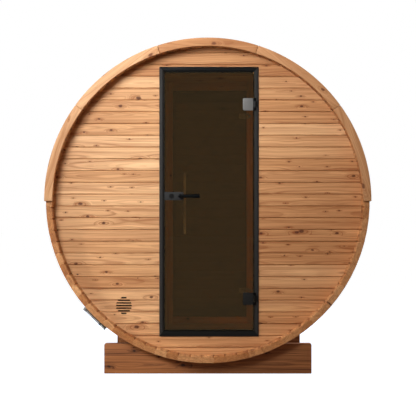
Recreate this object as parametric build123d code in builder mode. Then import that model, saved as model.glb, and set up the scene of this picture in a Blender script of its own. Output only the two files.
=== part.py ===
"""Barrel sauna of two rooms on three cradles, as separate named pieces.

Frame: millimetres, +Z up, X = 0 on the barrel's axis, Y = 0 at the middle of its length,
Z = 0 on the ground. The entrance faces -Y. Angles round the barrel are in degrees from
straight down, positive towards +X.
"""
from build123d import *
import os
from math import cos, radians, sin

# ---- barrel -----------------------------------------------------------------------------
LENGTH = 3000.0  # stave length
R_OUT = 1125.0  # outside of the staves
STAVE = 42.0  # stave thickness
R_IN = R_OUT - STAVE
AXIS_Z = 1210.0  # height of the barrel's axis
SETS = 12  # the 84 staves are grouped in twelve sets of seven
SET_ANGLE = 360.0 / SETS
CROZE = 12.0  # depth of the groove that holds each wall
CROZE_FIT = 1.0  # play of a wall in its groove

# ---- end walls and partition ------------------------------------------------------------
WALL = 42.0  # board thickness
INSET = 125.0  # from the stave ends to the face of an end wall
WALL_R = R_IN + CROZE - CROZE_FIT
FRONT_Y = -LENGTH / 2 + INSET  # face of the front wall
PARTITION_Y = FRONT_Y + 1150.0  # face of the partition
REAR_Y = LENGTH / 2 - INSET - WALL  # inner face of the rear wall
WALL_FACES = (FRONT_Y, PARTITION_Y, REAR_Y)
JOINT = 0.5  # play round a frame in its wall
BUTT = 0.1  # play where two bars meet

# ---- arched fascia and roof covering ----------------------------------------------------
FASCIA = 28.0  # board thickness
FASCIA_IN, FASCIA_OUT = 1076.0, 1134.0
FASCIA_BOARDS = 5
FASCIA_GAP = 0.05  # half a joint between two boards, degrees
COVER_IN, COVER_OUT = 1126.0, 1131.0

# ---- cradles, hoops and tighteners ------------------------------------------------------
CRADLE_WIDTH, CRADLE_HEIGHT, CRADLE_DEPTH = 1458.0, 209.0, 90.0
CRADLE_ROUND = 8.0
SADDLE_R = R_OUT + 1.0
HOOP_WIDTH, HOOP = 25.0, 0.8
TIGHTENER_ANGLE = -44.1
TIGHTENER_WIDTH = 30.0
BLOCK_FROM, BLOCK_TO = -106.0, -50.0  # along the rod
BRACKET_FROM, BRACKET_TO = 88.0, 104.0
TIGHTENER_HEIGHT = 36.0
ROD_HEIGHT, ROD_R = 26.0, 7.5

# ---- floors -----------------------------------------------------------------------------
FLOOR_TOP, FLOOR = 248.0, 24.0
FLOOR_HALF_TOP, FLOOR_HALF_BOTTOM = 480.0, 440.0
BEARER_WIDTH = 45.0
BEARERS_X = (-300.0, 0.0, 300.0)

# ---- entrance door ----------------------------------------------------------------------
DOOR_X = 8.0  # middle of the doorway
DOOR_WIDTH, DOOR_HEIGHT, DOOR_SILL = 700.0, 1900.0, 259.0
JAMB, HEAD, SILL = 30.0, 32.0, 40.0
FRAME_Y = FRONT_Y - 6.0  # face of the frame
FRAME_DEPTH = 56.0
LEAF_GAP = 5.0
GLASS = 8.0
GLASS_Y = FRAME_Y + 2.0  # face of the glass
SEAL, SEAL_DEPTH = 12.0, 20.0

PIN_X, PIN_Y = 329.5, FRAME_Y - 9.0
KNUCKLE_R, PIN_R, PIN_FIT = 8.0, 4.0, 0.15
HINGE_TALL, KNUCKLE_TALL, KNUCKLE_FIT = 87.0, 44.0, 0.5
HINGE_OFF_AXIS = 684.5  # of each hinge above or below the barrel's axis
PLATE = 8.0
PLATE_LEFT, PLATE_RIGHT, BACK_RIGHT = 246.0, 319.0, 308.0
PLATE_ROUND = 10.0
EAR = 10.0  # thickness of the ears that hold the pin
BASE_WIDTH, BASE = 23.0, 4.0

# ---- lock and lever -----------------------------------------------------------------------
LOCK_LEFT, LOCK_BACK_LEFT, LOCK_RIGHT = -306.0, -290.0, -172.0
LOCK_TALL, LOCK, LOCK_BACK = 58.0, 12.0, 10.0
LEVER_X, LEVER_Z = -194.0, 1248.0
LEVER_REACH, LEVER_R = 138.0, 10.0
ROOT_R, ROOT_ROUND, NECK_R = 14.0, 4.5, 9.0
LEVER_OUT, LEVER_IN = 41.0, 36.0  # of the grip from the face of the lock case
SPINDLE_R, SPINDLE_FIT, SPINDLE_HOLE_R = 5.0, 0.3, 8.0

# ---- partition door ---------------------------------------------------------------------
INNER_X = 8.5
INNER_WIDTH, INNER_TOP, INNER_BOTTOM = 714.0, 2179.0, FLOOR_TOP
INNER_JAMB, INNER_HEAD, INNER_SILL = 58.0, 62.0, 50.0
INNER_FRAME_Y = PARTITION_Y - 6.0
INNER_DEPTH = 54.0
INNER_GLASS_Y = INNER_FRAME_Y + 2.0
INNER_PIN_X, INNER_PIN_Y = 317.0, INNER_FRAME_Y - 7.0
INNER_KNUCKLE_R, INNER_PIN_R = 6.0, 3.0
INNER_HINGE_TALL, INNER_KNUCKLE_TALL = 42.0, 20.0
INNER_HINGE_OFF_AXIS = 698.0
INNER_PLATE = 7.0
INNER_PLATE_LEFT, INNER_PLATE_RIGHT, INNER_BACK_RIGHT = 243.0, 302.0, 288.0
INNER_EAR = 8.0
PULL_X, PULL_WIDTH, PULL_DEPTH, PULL_TALL = -190.0, 18.0, 20.0, 490.0
PULL_OFF_GLASS, PULL_POSTS, PULL_POST_R, PULL_ROUND = 35.0, 340.0, 7.0, 6.0

# ---- air vent ---------------------------------------------------------------------------
VENT_X, VENT_Z = -593.0, 476.0
VENT_PLUG_R, VENT_R = 66.0, 60.0
SLOTS, SLOT_PITCH, SLOT_HEIGHT = 7, 18.5, 9.0


def upright(y):
    """Plane across the barrel at y: its axes are X and Z, and it extrudes towards -Y."""
    return Plane(origin=(0, y, 0), x_dir=(1, 0, 0), z_dir=(0, -1, 0))


def radial(angle):
    """Plane through the barrel's axis at an angle: its axes are Y and the radius."""
    turn = radians(angle)
    return Plane(origin=(0, 0, AXIS_Z), x_dir=(0, 1, 0), z_dir=(-cos(turn), 0, -sin(turn)))


def write(piece, name):
    """Label one finished piece and write it to its own file."""
    piece.part.label = name
    export_step(piece.part, f"parts/{name}.step")


def box(x_from, x_to, y_from, y_to, z_from, z_to):
    """Add a plain block between six planes to the open part."""
    with Locations(((x_from + x_to) / 2, (y_from + y_to) / 2, (z_from + z_to) / 2)):
        Box(x_to - x_from, y_to - y_from, z_to - z_from)


def turned(width, inner, outer, y_middle, start, sweep):
    """Add part of a ring round the barrel's axis to the open part."""
    with BuildSketch(radial(start)) as profile:
        with Locations((y_middle, (inner + outer) / 2)):
            Rectangle(width, outer - inner)
    revolve(profile.sketch, axis=BARREL_AXIS, revolution_arc=sweep)


def wall_panel(name, face_y, x_from, x_to, z_from, z_to, vent=False):
    """Make the part of a round wall that lies between four planes."""
    with BuildPart() as panel:
        with BuildSketch(upright(face_y + WALL)):
            with Locations((0, AXIS_Z)):
                Circle(WALL_R)
            with Locations(((x_from + x_to) / 2, (z_from + z_to) / 2)):
                Rectangle(x_to - x_from, z_to - z_from, mode=Mode.INTERSECT)
            if vent:
                with Locations((VENT_X, VENT_Z)):
                    Circle(VENT_PLUG_R, mode=Mode.SUBTRACT)
        extrude(amount=WALL)
    write(panel, name)


def wall_round_door(name, face_y, left, right, bottom, top, vent=False):
    """Make a wall as four panels round a door frame of the given outline."""
    wall_panel(f"{name}_left", face_y, -R_OUT, left - JOINT, 0, 2 * AXIS_Z, vent)
    wall_panel(f"{name}_right", face_y, right + JOINT, R_OUT, 0, 2 * AXIS_Z)
    wall_panel(f"{name}_above_door", face_y, left - JOINT, right + JOINT, top + JOINT, 2 * AXIS_Z)
    wall_panel(f"{name}_below_door", face_y, left - JOINT, right + JOINT, 0, bottom - JOINT)


def four_bars(name, left, right, bottom, top, face_y, depth, jamb, head, sill):
    """Make a rectangular surround of four bars: two uprights, with a head and a sill between."""
    with BuildPart() as surround:
        box(left, left + jamb, face_y, face_y + depth, bottom, top)
        box(right - jamb, right, face_y, face_y + depth, bottom, top)
        between = (left + jamb + BUTT, right - jamb - BUTT, face_y, face_y + depth)
        box(*between, top - head, top)
        box(*between, bottom, bottom + sill)
    write(surround, name)


def glass_leaf(name, left, right, bottom, top, face_y, holes=()):
    """Make a frameless leaf of toughened glass; each hole is x, z and radius."""
    with BuildPart() as leaf:
        with BuildSketch(upright(face_y + GLASS)):
            with Locations(((left + right) / 2, (bottom + top) / 2)):
                Rectangle(right - left, top - bottom)
            for x, z, radius in holes:
                with Locations((x, z)):
                    Circle(radius, mode=Mode.SUBTRACT)
        extrude(amount=GLASS)
    write(leaf, name)


def plate_on_glass(rear_y, left, right, z, tall, thickness, rounded, round_left):
    """Add a plate with two rounded corners, its rear face at rear_y, to the open part."""
    with BuildSketch(upright(rear_y)) as outline:
        with Locations(((left + right) / 2, z)):
            Rectangle(right - left, tall)
        side = 0 if round_left else -1
        fillet(outline.vertices().group_by(Axis.X)[side], rounded)
    extrude(outline.sketch, amount=thickness)


def upright_rod(x, y, radius, z_from, z_to, mode=Mode.ADD):
    """Add or cut an upright round bar in the open part."""
    with Locations((x, y, (z_from + z_to) / 2)):
        Cylinder(radius, z_to - z_from, mode=mode)


def hinge_leaves(name, heights, tall, knuckle_tall, pin, radii, plate, edges, glass_y, ear):
    """Make the glass clamps of a door: face plate, two ears with their pin, and back plate."""
    pin_x, pin_y = pin
    knuckle_r, pin_r = radii
    left, right, back_right = edges
    with BuildPart() as leaves:
        for z in heights:
            plate_on_glass(glass_y, left, right, z, tall, plate, PLATE_ROUND, round_left=True)
            plate_on_glass(glass_y + GLASS + plate, left, back_right, z, tall, plate, PLATE_ROUND, True)
            for low, high in ((-tall / 2, -knuckle_tall / 2), (knuckle_tall / 2, tall / 2)):
                upright_rod(pin_x, pin_y, knuckle_r, z + low, z + high)
                box(right - ear, pin_x, pin_y - ear / 2, pin_y + ear / 2, z + low, z + high)
            upright_rod(pin_x, pin_y, pin_r, z - tall / 2, z + tall / 2)
    write(leaves, name)


def hinge_knuckles(name, heights, knuckle_tall, pin, radii, frame_y):
    """Make the fixed knuckles of a door's hinges, each on a base screwed to the frame."""
    pin_x, pin_y = pin
    knuckle_r, pin_r = radii
    reach = knuckle_tall / 2 - KNUCKLE_FIT
    with BuildPart() as knuckles:
        for z in heights:
            upright_rod(pin_x, pin_y, knuckle_r, z - reach, z + reach)
            box(pin_x, pin_x + BASE_WIDTH, frame_y - BASE, frame_y, z - reach, z + reach)
            upright_rod(pin_x, pin_y, pin_r + PIN_FIT, z - reach, z + reach, Mode.SUBTRACT)
    write(knuckles, name)


def level_rod(x, z, radius, y_from, y_to, mode=Mode.ADD):
    """Add or cut a round bar along Y in the open part."""
    with BuildSketch(upright(y_to)) as outline:
        with Locations((x, z)):
            Circle(radius)
    extrude(outline.sketch, amount=y_to - y_from, mode=mode)


os.makedirs("parts", exist_ok=True)
BARREL_AXIS = Axis((0, 0, AXIS_Z), (0, -1, 0))

# ---- barrel shell: sets of seven staves, each with the three grooves for the walls --------
for number in range(SETS):
    first_edge = number * SET_ANGLE - SET_ANGLE / 2
    with BuildPart() as stave_set:
        with BuildSketch(radial(first_edge)):
            with Locations((0, (R_IN + R_OUT) / 2)):
                Rectangle(LENGTH, STAVE)
            with Locations(*[(face + WALL / 2, R_IN + CROZE / 2) for face in WALL_FACES]):
                Rectangle(WALL + CROZE_FIT, CROZE, mode=Mode.SUBTRACT)
        revolve(axis=BARREL_AXIS, revolution_arc=SET_ANGLE)
    write(stave_set, f"stave_set_{number + 1:02d}")

# ---- roof covering over the upper half ----------------------------------------------------
with BuildPart() as roof_covering:
    turned(LENGTH, COVER_IN, COVER_OUT, 0, 90, 180)
write(roof_covering, "roof_covering")

# ---- arched fascia at both ends, each of five boards ---------------------------------------
for name, middle_y in (("front_fascia", -LENGTH / 2 - FASCIA / 2), ("rear_fascia", LENGTH / 2 + FASCIA / 2)):
    board_angle = 180 / FASCIA_BOARDS
    with BuildPart() as fascia:
        for number in range(FASCIA_BOARDS):
            start = 90 + number * board_angle + FASCIA_GAP
            turned(FASCIA, FASCIA_IN, FASCIA_OUT, middle_y, start, board_angle - 2 * FASCIA_GAP)
    write(fascia, name)

# ---- cradles, one under each wall ----------------------------------------------------------
for name, face in zip(("cradle_front", "cradle_middle", "cradle_rear"), WALL_FACES):
    with BuildPart() as cradle:
        with BuildSketch(upright(face + WALL / 2 + CRADLE_DEPTH / 2)) as outline:
            with Locations((0, CRADLE_HEIGHT / 2)):
                Rectangle(CRADLE_WIDTH, CRADLE_HEIGHT)
            fillet(outline.vertices().group_by(Axis.Y)[-1], CRADLE_ROUND)
            with Locations((0, AXIS_Z)):
                Circle(SADDLE_R, mode=Mode.SUBTRACT)
        extrude(amount=CRADLE_DEPTH)
    write(cradle, name)

# ---- front wall, partition and rear wall ---------------------------------------------------
door_left, door_right = DOOR_X - DOOR_WIDTH / 2, DOOR_X + DOOR_WIDTH / 2
door_top = DOOR_SILL + DOOR_HEIGHT
wall_round_door("front_wall", FRONT_Y, door_left, door_right, DOOR_SILL, door_top, vent=True)
inner_left, inner_right = INNER_X - INNER_WIDTH / 2, INNER_X + INNER_WIDTH / 2
wall_round_door("partition", PARTITION_Y, inner_left, inner_right, INNER_BOTTOM, INNER_TOP)
wall_panel("rear_wall", REAR_Y, -R_OUT, R_OUT, 0, 2 * AXIS_Z)

# ---- air vent: a round plug of wood with seven level slots ---------------------------------
with BuildPart() as air_vent:
    with BuildSketch(upright(FRONT_Y + WALL)):
        with Locations((VENT_X, VENT_Z)):
            Circle(VENT_PLUG_R - JOINT)
        for number in range(SLOTS):
            rise = (number - (SLOTS - 1) / 2) * SLOT_PITCH
            length = 2 * (VENT_R**2 - rise**2) ** 0.5 - SLOT_HEIGHT / 2
            with Locations((VENT_X, VENT_Z + rise)):
                SlotOverall(length, SLOT_HEIGHT, mode=Mode.SUBTRACT)
    extrude(amount=WALL)
write(air_vent, "air_vent")

# ---- floors of boards on bearers, between the walls ----------------------------------------
rooms = {
    "floor_changing_room": (FRONT_Y + WALL, PARTITION_Y),
    "floor_hot_room": (PARTITION_Y + WALL, REAR_Y),
}
for name, (room_from, room_to) in rooms.items():
    with BuildPart() as floor:
        with BuildSketch(upright(room_to - CROZE_FIT)):
            Polygon(
                (-FLOOR_HALF_TOP, FLOOR_TOP),
                (-FLOOR_HALF_BOTTOM, FLOOR_TOP - FLOOR),
                (FLOOR_HALF_BOTTOM, FLOOR_TOP - FLOOR),
                (FLOOR_HALF_TOP, FLOOR_TOP),
                align=None,
            )
            with Locations(*[(x, FLOOR_TOP - FLOOR - BUTT) for x in BEARERS_X]):
                Rectangle(BEARER_WIDTH, FLOOR_TOP, align=(Align.CENTER, Align.MAX))
            with Locations((0, AXIS_Z)):
                Circle(R_IN - JOINT, mode=Mode.INTERSECT)
        extrude(amount=room_to - room_from - 2 * CROZE_FIT)
    write(floor, name)

# ---- steel hoops and their tighteners, over each wall --------------------------------------
with BuildPart() as hoops:
    for face in WALL_FACES:
        turned(HOOP_WIDTH, R_OUT, R_OUT + HOOP, face + WALL / 2, 0, 360)
write(hoops, "hoops")

with BuildPart() as tighteners:
    turn = radians(TIGHTENER_ANGLE)
    along = Vector(-cos(turn), 0, -sin(turn))  # round the barrel, upwards on the -X side
    outward = Vector(sin(turn), 0, -cos(turn))
    for face in WALL_FACES:
        middle = Vector(0, face + WALL / 2, AXIS_Z) + outward * R_OUT
        side = Plane(origin=middle, x_dir=along, z_dir=(0, -1, 0))
        with BuildSketch(side):
            for start, end in ((BLOCK_FROM, BLOCK_TO), (BRACKET_FROM, BRACKET_TO)):
                with Locations(((start + end) / 2, TIGHTENER_HEIGHT)):
                    Rectangle(end - start, 2 * TIGHTENER_HEIGHT, align=(Align.CENTER, Align.MAX))
            with Locations((0, -R_OUT)):
                Circle(R_OUT + HOOP, mode=Mode.SUBTRACT)
        extrude(amount=TIGHTENER_WIDTH / 2, both=True)
        with BuildSketch(Plane(origin=middle + outward * ROD_HEIGHT + along * BLOCK_TO, z_dir=along)):
            Circle(ROD_R)
        extrude(amount=BRACKET_FROM - BLOCK_TO)
write(tighteners, "tighteners")

# ---- entrance door: frame, seal, glass leaf -------------------------------------------------
four_bars("door_frame", door_left, door_right, DOOR_SILL, door_top, FRAME_Y, FRAME_DEPTH, JAMB, HEAD, SILL)
clear_left, clear_right = door_left + JAMB, door_right - JAMB
clear_bottom, clear_top = DOOR_SILL + SILL, door_top - HEAD
seal_y = GLASS_Y + GLASS + LEAF_GAP
four_bars(
    "door_seal", clear_left, clear_right, clear_bottom, clear_top, seal_y, SEAL_DEPTH, SEAL, SEAL, SEAL
)
leaf_left, leaf_right = clear_left + LEAF_GAP, clear_right - LEAF_GAP
glass_leaf(
    "door_glass", leaf_left, leaf_right, clear_bottom + LEAF_GAP, clear_top - LEAF_GAP, GLASS_Y,
    holes=[(LEVER_X, LEVER_Z, SPINDLE_HOLE_R)],
)

# ---- entrance door: hinges, lock case and lever ----------------------------------------------
hinge_heights = (AXIS_Z - HINGE_OFF_AXIS, AXIS_Z + HINGE_OFF_AXIS)
hinge_leaves(
    "door_hinge_leaves", hinge_heights, HINGE_TALL, KNUCKLE_TALL, (PIN_X, PIN_Y), (KNUCKLE_R, PIN_R),
    PLATE, (PLATE_LEFT, PLATE_RIGHT, BACK_RIGHT), GLASS_Y, EAR,
)
hinge_knuckles(
    "door_hinge_knuckles", hinge_heights, KNUCKLE_TALL, (PIN_X, PIN_Y), (KNUCKLE_R, PIN_R), FRAME_Y
)

back_y = GLASS_Y + GLASS  # rear face of the glass
with BuildPart() as lock_case:
    plate_on_glass(GLASS_Y, LOCK_LEFT, LOCK_RIGHT, LEVER_Z, LOCK_TALL, LOCK, PLATE_ROUND, False)
    plate_on_glass(
        back_y + LOCK_BACK, LOCK_BACK_LEFT, LOCK_RIGHT, LEVER_Z, LOCK_TALL, LOCK_BACK, PLATE_ROUND, False
    )
    level_rod(
        LEVER_X, LEVER_Z, SPINDLE_R + SPINDLE_FIT, GLASS_Y - LOCK, back_y + LOCK_BACK, Mode.SUBTRACT
    )
write(lock_case, "lock_case")

case_front, case_rear = GLASS_Y - LOCK, back_y + LOCK_BACK
grip_front, grip_rear = case_front - LEVER_OUT, case_rear + LEVER_IN
with BuildPart() as lever_handle:
    turned_along = Plane(origin=(LEVER_X, 0, LEVER_Z), x_dir=(0, 1, 0), z_dir=(1, 0, 0))
    with BuildSketch(turned_along) as half_spindle:
        with BuildLine():
            Polyline(
                (grip_front - ROOT_R, 0),
                (grip_front - ROOT_R, ROOT_R),
                (grip_front + ROOT_R, ROOT_R),
                (grip_front + ROOT_R, NECK_R),
                (case_front - JOINT, NECK_R),
                (case_front - JOINT, SPINDLE_R),
                (case_rear + JOINT, SPINDLE_R),
                (case_rear + JOINT, NECK_R),
                (grip_rear - ROOT_R, NECK_R),
                (grip_rear - ROOT_R, ROOT_R),
                (grip_rear + ROOT_R, ROOT_R),
                (grip_rear + ROOT_R, 0),
                close=True,
            )
        make_face()
        fillet(half_spindle.vertices().filter_by(lambda corner: corner.Y > NECK_R + 1), ROOT_ROUND)
    revolve(axis=Axis((LEVER_X, 0, LEVER_Z), (0, 1, 0)))
    for grip_y in (grip_front, grip_rear):
        along_grip = Plane(origin=(LEVER_X, grip_y, LEVER_Z), x_dir=(1, 0, 0), z_dir=(0, -1, 0))
        with BuildSketch(along_grip) as half_grip:
            Rectangle(LEVER_REACH, LEVER_R, align=(Align.MIN, Align.MIN))
            fillet(half_grip.vertices().sort_by(Axis.X)[-2:].sort_by(Axis.Y)[-1], LEVER_R - 0.5)
        revolve(axis=Axis((LEVER_X, grip_y, LEVER_Z), (1, 0, 0)))
write(lever_handle, "lever_handle")

# ---- partition door: wooden frame and stop, glass leaf, hinges, pull handle --------------------
four_bars(
    "partition_door_frame", inner_left, inner_right, INNER_BOTTOM, INNER_TOP, INNER_FRAME_Y, INNER_DEPTH,
    INNER_JAMB, INNER_HEAD, INNER_SILL,
)
inner_clear = (
    inner_left + INNER_JAMB, inner_right - INNER_JAMB, INNER_BOTTOM + INNER_SILL, INNER_TOP - INNER_HEAD
)
stop_y = INNER_GLASS_Y + GLASS + LEAF_GAP
four_bars("partition_door_stop", *inner_clear, stop_y, SEAL_DEPTH, SEAL, SEAL, SEAL)
glass_leaf(
    "partition_door_glass", inner_clear[0] + LEAF_GAP, inner_clear[1] - LEAF_GAP,
    inner_clear[2] + LEAF_GAP, inner_clear[3] - LEAF_GAP, INNER_GLASS_Y,
)
inner_heights = (AXIS_Z - INNER_HINGE_OFF_AXIS, AXIS_Z + INNER_HINGE_OFF_AXIS)
inner_pin, inner_radii = (INNER_PIN_X, INNER_PIN_Y), (INNER_KNUCKLE_R, INNER_PIN_R)
hinge_leaves(
    "partition_door_hinge_leaves", inner_heights, INNER_HINGE_TALL, INNER_KNUCKLE_TALL, inner_pin,
    inner_radii, INNER_PLATE, (INNER_PLATE_LEFT, INNER_PLATE_RIGHT, INNER_BACK_RIGHT), INNER_GLASS_Y,
    INNER_EAR,
)
hinge_knuckles(
    "partition_door_hinge_knuckles", inner_heights, INNER_KNUCKLE_TALL, inner_pin, inner_radii,
    INNER_FRAME_Y,
)

inner_back_y = INNER_GLASS_Y + GLASS
pull_off = PULL_OFF_GLASS + PULL_DEPTH / 2
with BuildPart() as pull_handle:
    for bar_y in (INNER_GLASS_Y - pull_off, inner_back_y + pull_off):
        with BuildSketch(Plane.XY.offset(AXIS_Z - PULL_TALL / 2)):
            with Locations((PULL_X, bar_y)):
                RectangleRounded(PULL_WIDTH, PULL_DEPTH, PULL_ROUND)
        extrude(amount=PULL_TALL)
    for z in (AXIS_Z - PULL_POSTS / 2, AXIS_Z + PULL_POSTS / 2):
        level_rod(PULL_X, z, PULL_POST_R, INNER_GLASS_Y - PULL_OFF_GLASS - 1, INNER_GLASS_Y)
        level_rod(PULL_X, z, PULL_POST_R, inner_back_y, inner_back_y + PULL_OFF_GLASS + 1)
write(pull_handle, "pull_handle")
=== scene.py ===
"""Looks of a barrel sauna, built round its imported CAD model.

Lengths are in metres. +Z is up, the barrel's axis runs along Y at X = 0, and the entrance
faces -Y. Angles round the barrel are in degrees from straight down, positive towards +X.
"""
import logging
import math
import random
from dataclasses import dataclass, field, replace
from enum import Enum
from functools import cache, partialmethod
from typing import Iterable, Sequence, Union

import bmesh
import bpy
import numpy as np
from mathutils import Matrix, Vector


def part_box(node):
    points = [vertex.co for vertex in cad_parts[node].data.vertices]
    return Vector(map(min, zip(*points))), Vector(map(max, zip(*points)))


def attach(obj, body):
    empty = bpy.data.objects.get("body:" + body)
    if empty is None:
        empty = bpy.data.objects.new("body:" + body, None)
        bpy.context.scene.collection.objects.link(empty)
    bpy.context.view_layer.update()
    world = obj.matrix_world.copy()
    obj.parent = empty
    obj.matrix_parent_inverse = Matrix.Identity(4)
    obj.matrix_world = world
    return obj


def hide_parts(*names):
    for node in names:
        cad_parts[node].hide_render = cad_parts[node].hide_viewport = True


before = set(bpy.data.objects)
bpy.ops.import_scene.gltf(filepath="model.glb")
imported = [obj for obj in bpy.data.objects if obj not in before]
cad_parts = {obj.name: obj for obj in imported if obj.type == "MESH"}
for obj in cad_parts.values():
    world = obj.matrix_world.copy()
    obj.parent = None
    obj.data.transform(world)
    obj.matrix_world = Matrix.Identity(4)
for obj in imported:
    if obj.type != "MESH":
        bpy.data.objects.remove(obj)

log = logging.getLogger("barrel_sauna")
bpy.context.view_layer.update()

Shape = bmesh.types.BMesh
Corner = tuple[float, float]
Point = Sequence[float]
Chart = tuple[int, int, int]
Colour = tuple[float, float, float]
Socket = Union[bpy.types.NodeSocket, float, tuple]
Inputs = dict[Union[str, int], Socket]

SAME = 1e-6  # lengths closer than this are the same
HAIR = 0.0002  # overlap or gap that nobody sees
SQUARE = 60.0  # edges that turn by more than this are corners, not facets of a round
ARRIS = 0.0012  # bevel that glass and small metal parts leave the works with
NEARLY = 0.98  # how far a bevel may go towards a full half round
HALF_TURN = 180.0  # degrees
QUARTER_TURN = 90.0


# ---- shaping tools -------------------------------------------------------------------------


def block(low: Point, high: Point) -> Shape:
    """Make a plain block, ready to be eased, clipped or carved.

    Args:
        low: Its lowest corner.
        high: Its highest corner.

    Returns:
        The block.
    """
    shape = bmesh.new()
    low, high = Vector(low), Vector(high)
    bmesh.ops.create_cube(shape, size=1.0)
    bmesh.ops.scale(shape, vec=high - low, verts=shape.verts)
    bmesh.ops.translate(shape, vec=(low + high) / 2, verts=shape.verts)
    return shape


def rod(radius: float, start: Point, end: Point, sides: int = 40) -> Shape:
    """Make a round bar between two points.

    Args:
        radius: Its radius.
        start: Middle of one end.
        end: Middle of the other end.
        sides: Number of facets round it.

    Returns:
        The bar.
    """
    shape = bmesh.new()
    start, end = Vector(start), Vector(end)
    way = end - start
    place = Matrix.Translation((start + end) / 2) @ way.to_track_quat("Z", "Y").to_matrix().to_4x4()
    bmesh.ops.create_cone(
        shape, cap_ends=True, cap_tris=False, segments=sides, radius1=radius, radius2=radius,
        depth=way.length, matrix=place,
    )
    return shape


def oblong(left: float, right: float, low: float, high: float) -> list[Corner]:
    """List the corners of a rectangle in order."""
    return [(left, low), (right, low), (right, high), (left, high)]


def swept(
    corners: Sequence[Point], axis: Point = (0, 0, 1), angle: float = math.tau, steps: int = 40,
    ring: bool = True,
) -> Shape:
    """Sweep a ring or a line of corners round an axis through the origin.

    Args:
        corners: The corners in order.
        axis: Direction of the axis.
        angle: Sweep in radians; a full turn closes on itself.
        steps: Number of facets round it.
        ring: Whether the last corner joins the first.

    Returns:
        The swept shape, with its ends closed.
    """
    shape = bmesh.new()
    drawn = [shape.verts.new(corner) for corner in corners]
    for one, other in zip(drawn, drawn[1:] + (drawn[:1] if ring else [])):
        shape.edges.new((one, other))
    bmesh.ops.spin(
        shape, geom=shape.verts[:] + shape.edges[:], cent=(0, 0, 0), axis=axis, angle=angle, steps=steps,
        use_merge=angle == math.tau,
    )
    bmesh.ops.remove_doubles(shape, verts=shape.verts, dist=SAME)
    bmesh.ops.holes_fill(shape, edges=[e for e in shape.edges if e.is_boundary])
    bmesh.ops.recalc_face_normals(shape, faces=shape.faces)
    return shape


def turned(profile: Sequence[Corner], sides: int = 40) -> Shape:
    """Turn a profile of radius and height round the Z axis, as on a lathe."""
    return swept([(radius, 0.0, height) for radius, height in profile], steps=sides, ring=False)


def thickened(shape: Shape, way: Point) -> Shape:
    """Extrude all the faces of a flat shape into a solid.

    Args:
        shape: The flat shape.
        way: How far, and which way.

    Returns:
        The same shape.
    """
    made = bmesh.ops.extrude_face_region(shape, geom=shape.faces[:])["geom"]
    moved = [part for part in made if isinstance(part, bmesh.types.BMVert)]
    bmesh.ops.translate(shape, vec=way, verts=moved)
    bmesh.ops.recalc_face_normals(shape, faces=shape.faces)
    return shape


def sharp_edges(shape: Shape, above: float = 30.0) -> list:
    """Find the edges that turn by more than an angle in degrees."""
    limit = math.radians(above)
    return [e for e in shape.edges if len(e.link_faces) == 2 and e.calc_face_angle(0.0) > limit]


def edges_along(shape: Shape, axis: int) -> list:
    """Find the edges that run along one axis: 0 is X, 1 is Y and 2 is Z."""
    ways = ((edge, (edge.verts[1].co - edge.verts[0].co).normalized()) for edge in shape.edges)
    return [edge for edge, way in ways if abs(way[axis]) > 0.999]


def ease(shape: Shape, width: float, edges: Iterable | None = None, segments: int = 1) -> Shape:
    """Take the sharpness off a shape's edges.

    Args:
        shape: What is eased.
        width: Width of the bevel.
        edges: The edges to bevel, or None for every sharp one.
        segments: Facets across the bevel.

    Returns:
        The same shape.
    """
    chosen = sharp_edges(shape) if edges is None else list(edges)
    bmesh.ops.bevel(
        shape, geom=chosen, offset=width, offset_type="OFFSET", affect="EDGES", segments=segments,
        profile=0.5, material=-1, clamp_overlap=True,
    )
    return shape


def clip(shape: Shape, point: Point, normal: Point) -> Shape:
    """Saw off what lies beyond a plane, and close the cut.

    Args:
        shape: What is sawn.
        point: A point on the plane.
        normal: The side that is taken off.

    Returns:
        The same shape.
    """
    everything = shape.verts[:] + shape.edges[:] + shape.faces[:]
    cut = bmesh.ops.bisect_plane(
        shape, geom=everything, dist=1e-7, plane_co=point, plane_no=normal, clear_outer=True
    )["geom_cut"]
    rim = [part for part in cut if isinstance(part, bmesh.types.BMEdge) and part.is_boundary]
    if rim:
        bmesh.ops.contextual_create(shape, geom=rim)
    return shape


def add_object(name: str, data: bpy.types.ID) -> bpy.types.Object:
    """Add an object to the scene.

    Args:
        name: Its name.
        data: Its mesh, lamp or camera.

    Returns:
        The object.
    """
    made = bpy.data.objects.new(name, data)
    bpy.context.scene.collection.objects.link(made)
    return made


def mesh_object(name: str, shape: Shape) -> bpy.types.Object:
    """Add a shape to the scene as an object. The shape is used up.

    Args:
        name: Its name.
        shape: The shape.

    Returns:
        The object.
    """
    mesh = bpy.data.meshes.new(name)
    shape.to_mesh(mesh)
    shape.free()
    return add_object(name, mesh)


def carve(shape: Shape, cutter: Shape) -> Shape:
    """Cut one closed shape out of another. Both are used up.

    Args:
        shape: What is cut.
        cutter: What is taken away.

    Returns:
        What is left.
    """
    kept, taken = mesh_object("kept", shape), mesh_object("taken", cutter)
    cut = kept.modifiers.new("cut", "BOOLEAN")
    cut.operation, cut.object, cut.solver = "DIFFERENCE", taken, "EXACT"
    bpy.context.view_layer.update()
    mesh = bpy.data.meshes.new_from_object(kept.evaluated_get(bpy.context.evaluated_depsgraph_get()))
    left = bmesh.new()
    left.from_mesh(mesh)
    for used in (mesh, kept.data, taken.data):
        bpy.data.meshes.remove(used)
    return left


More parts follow.
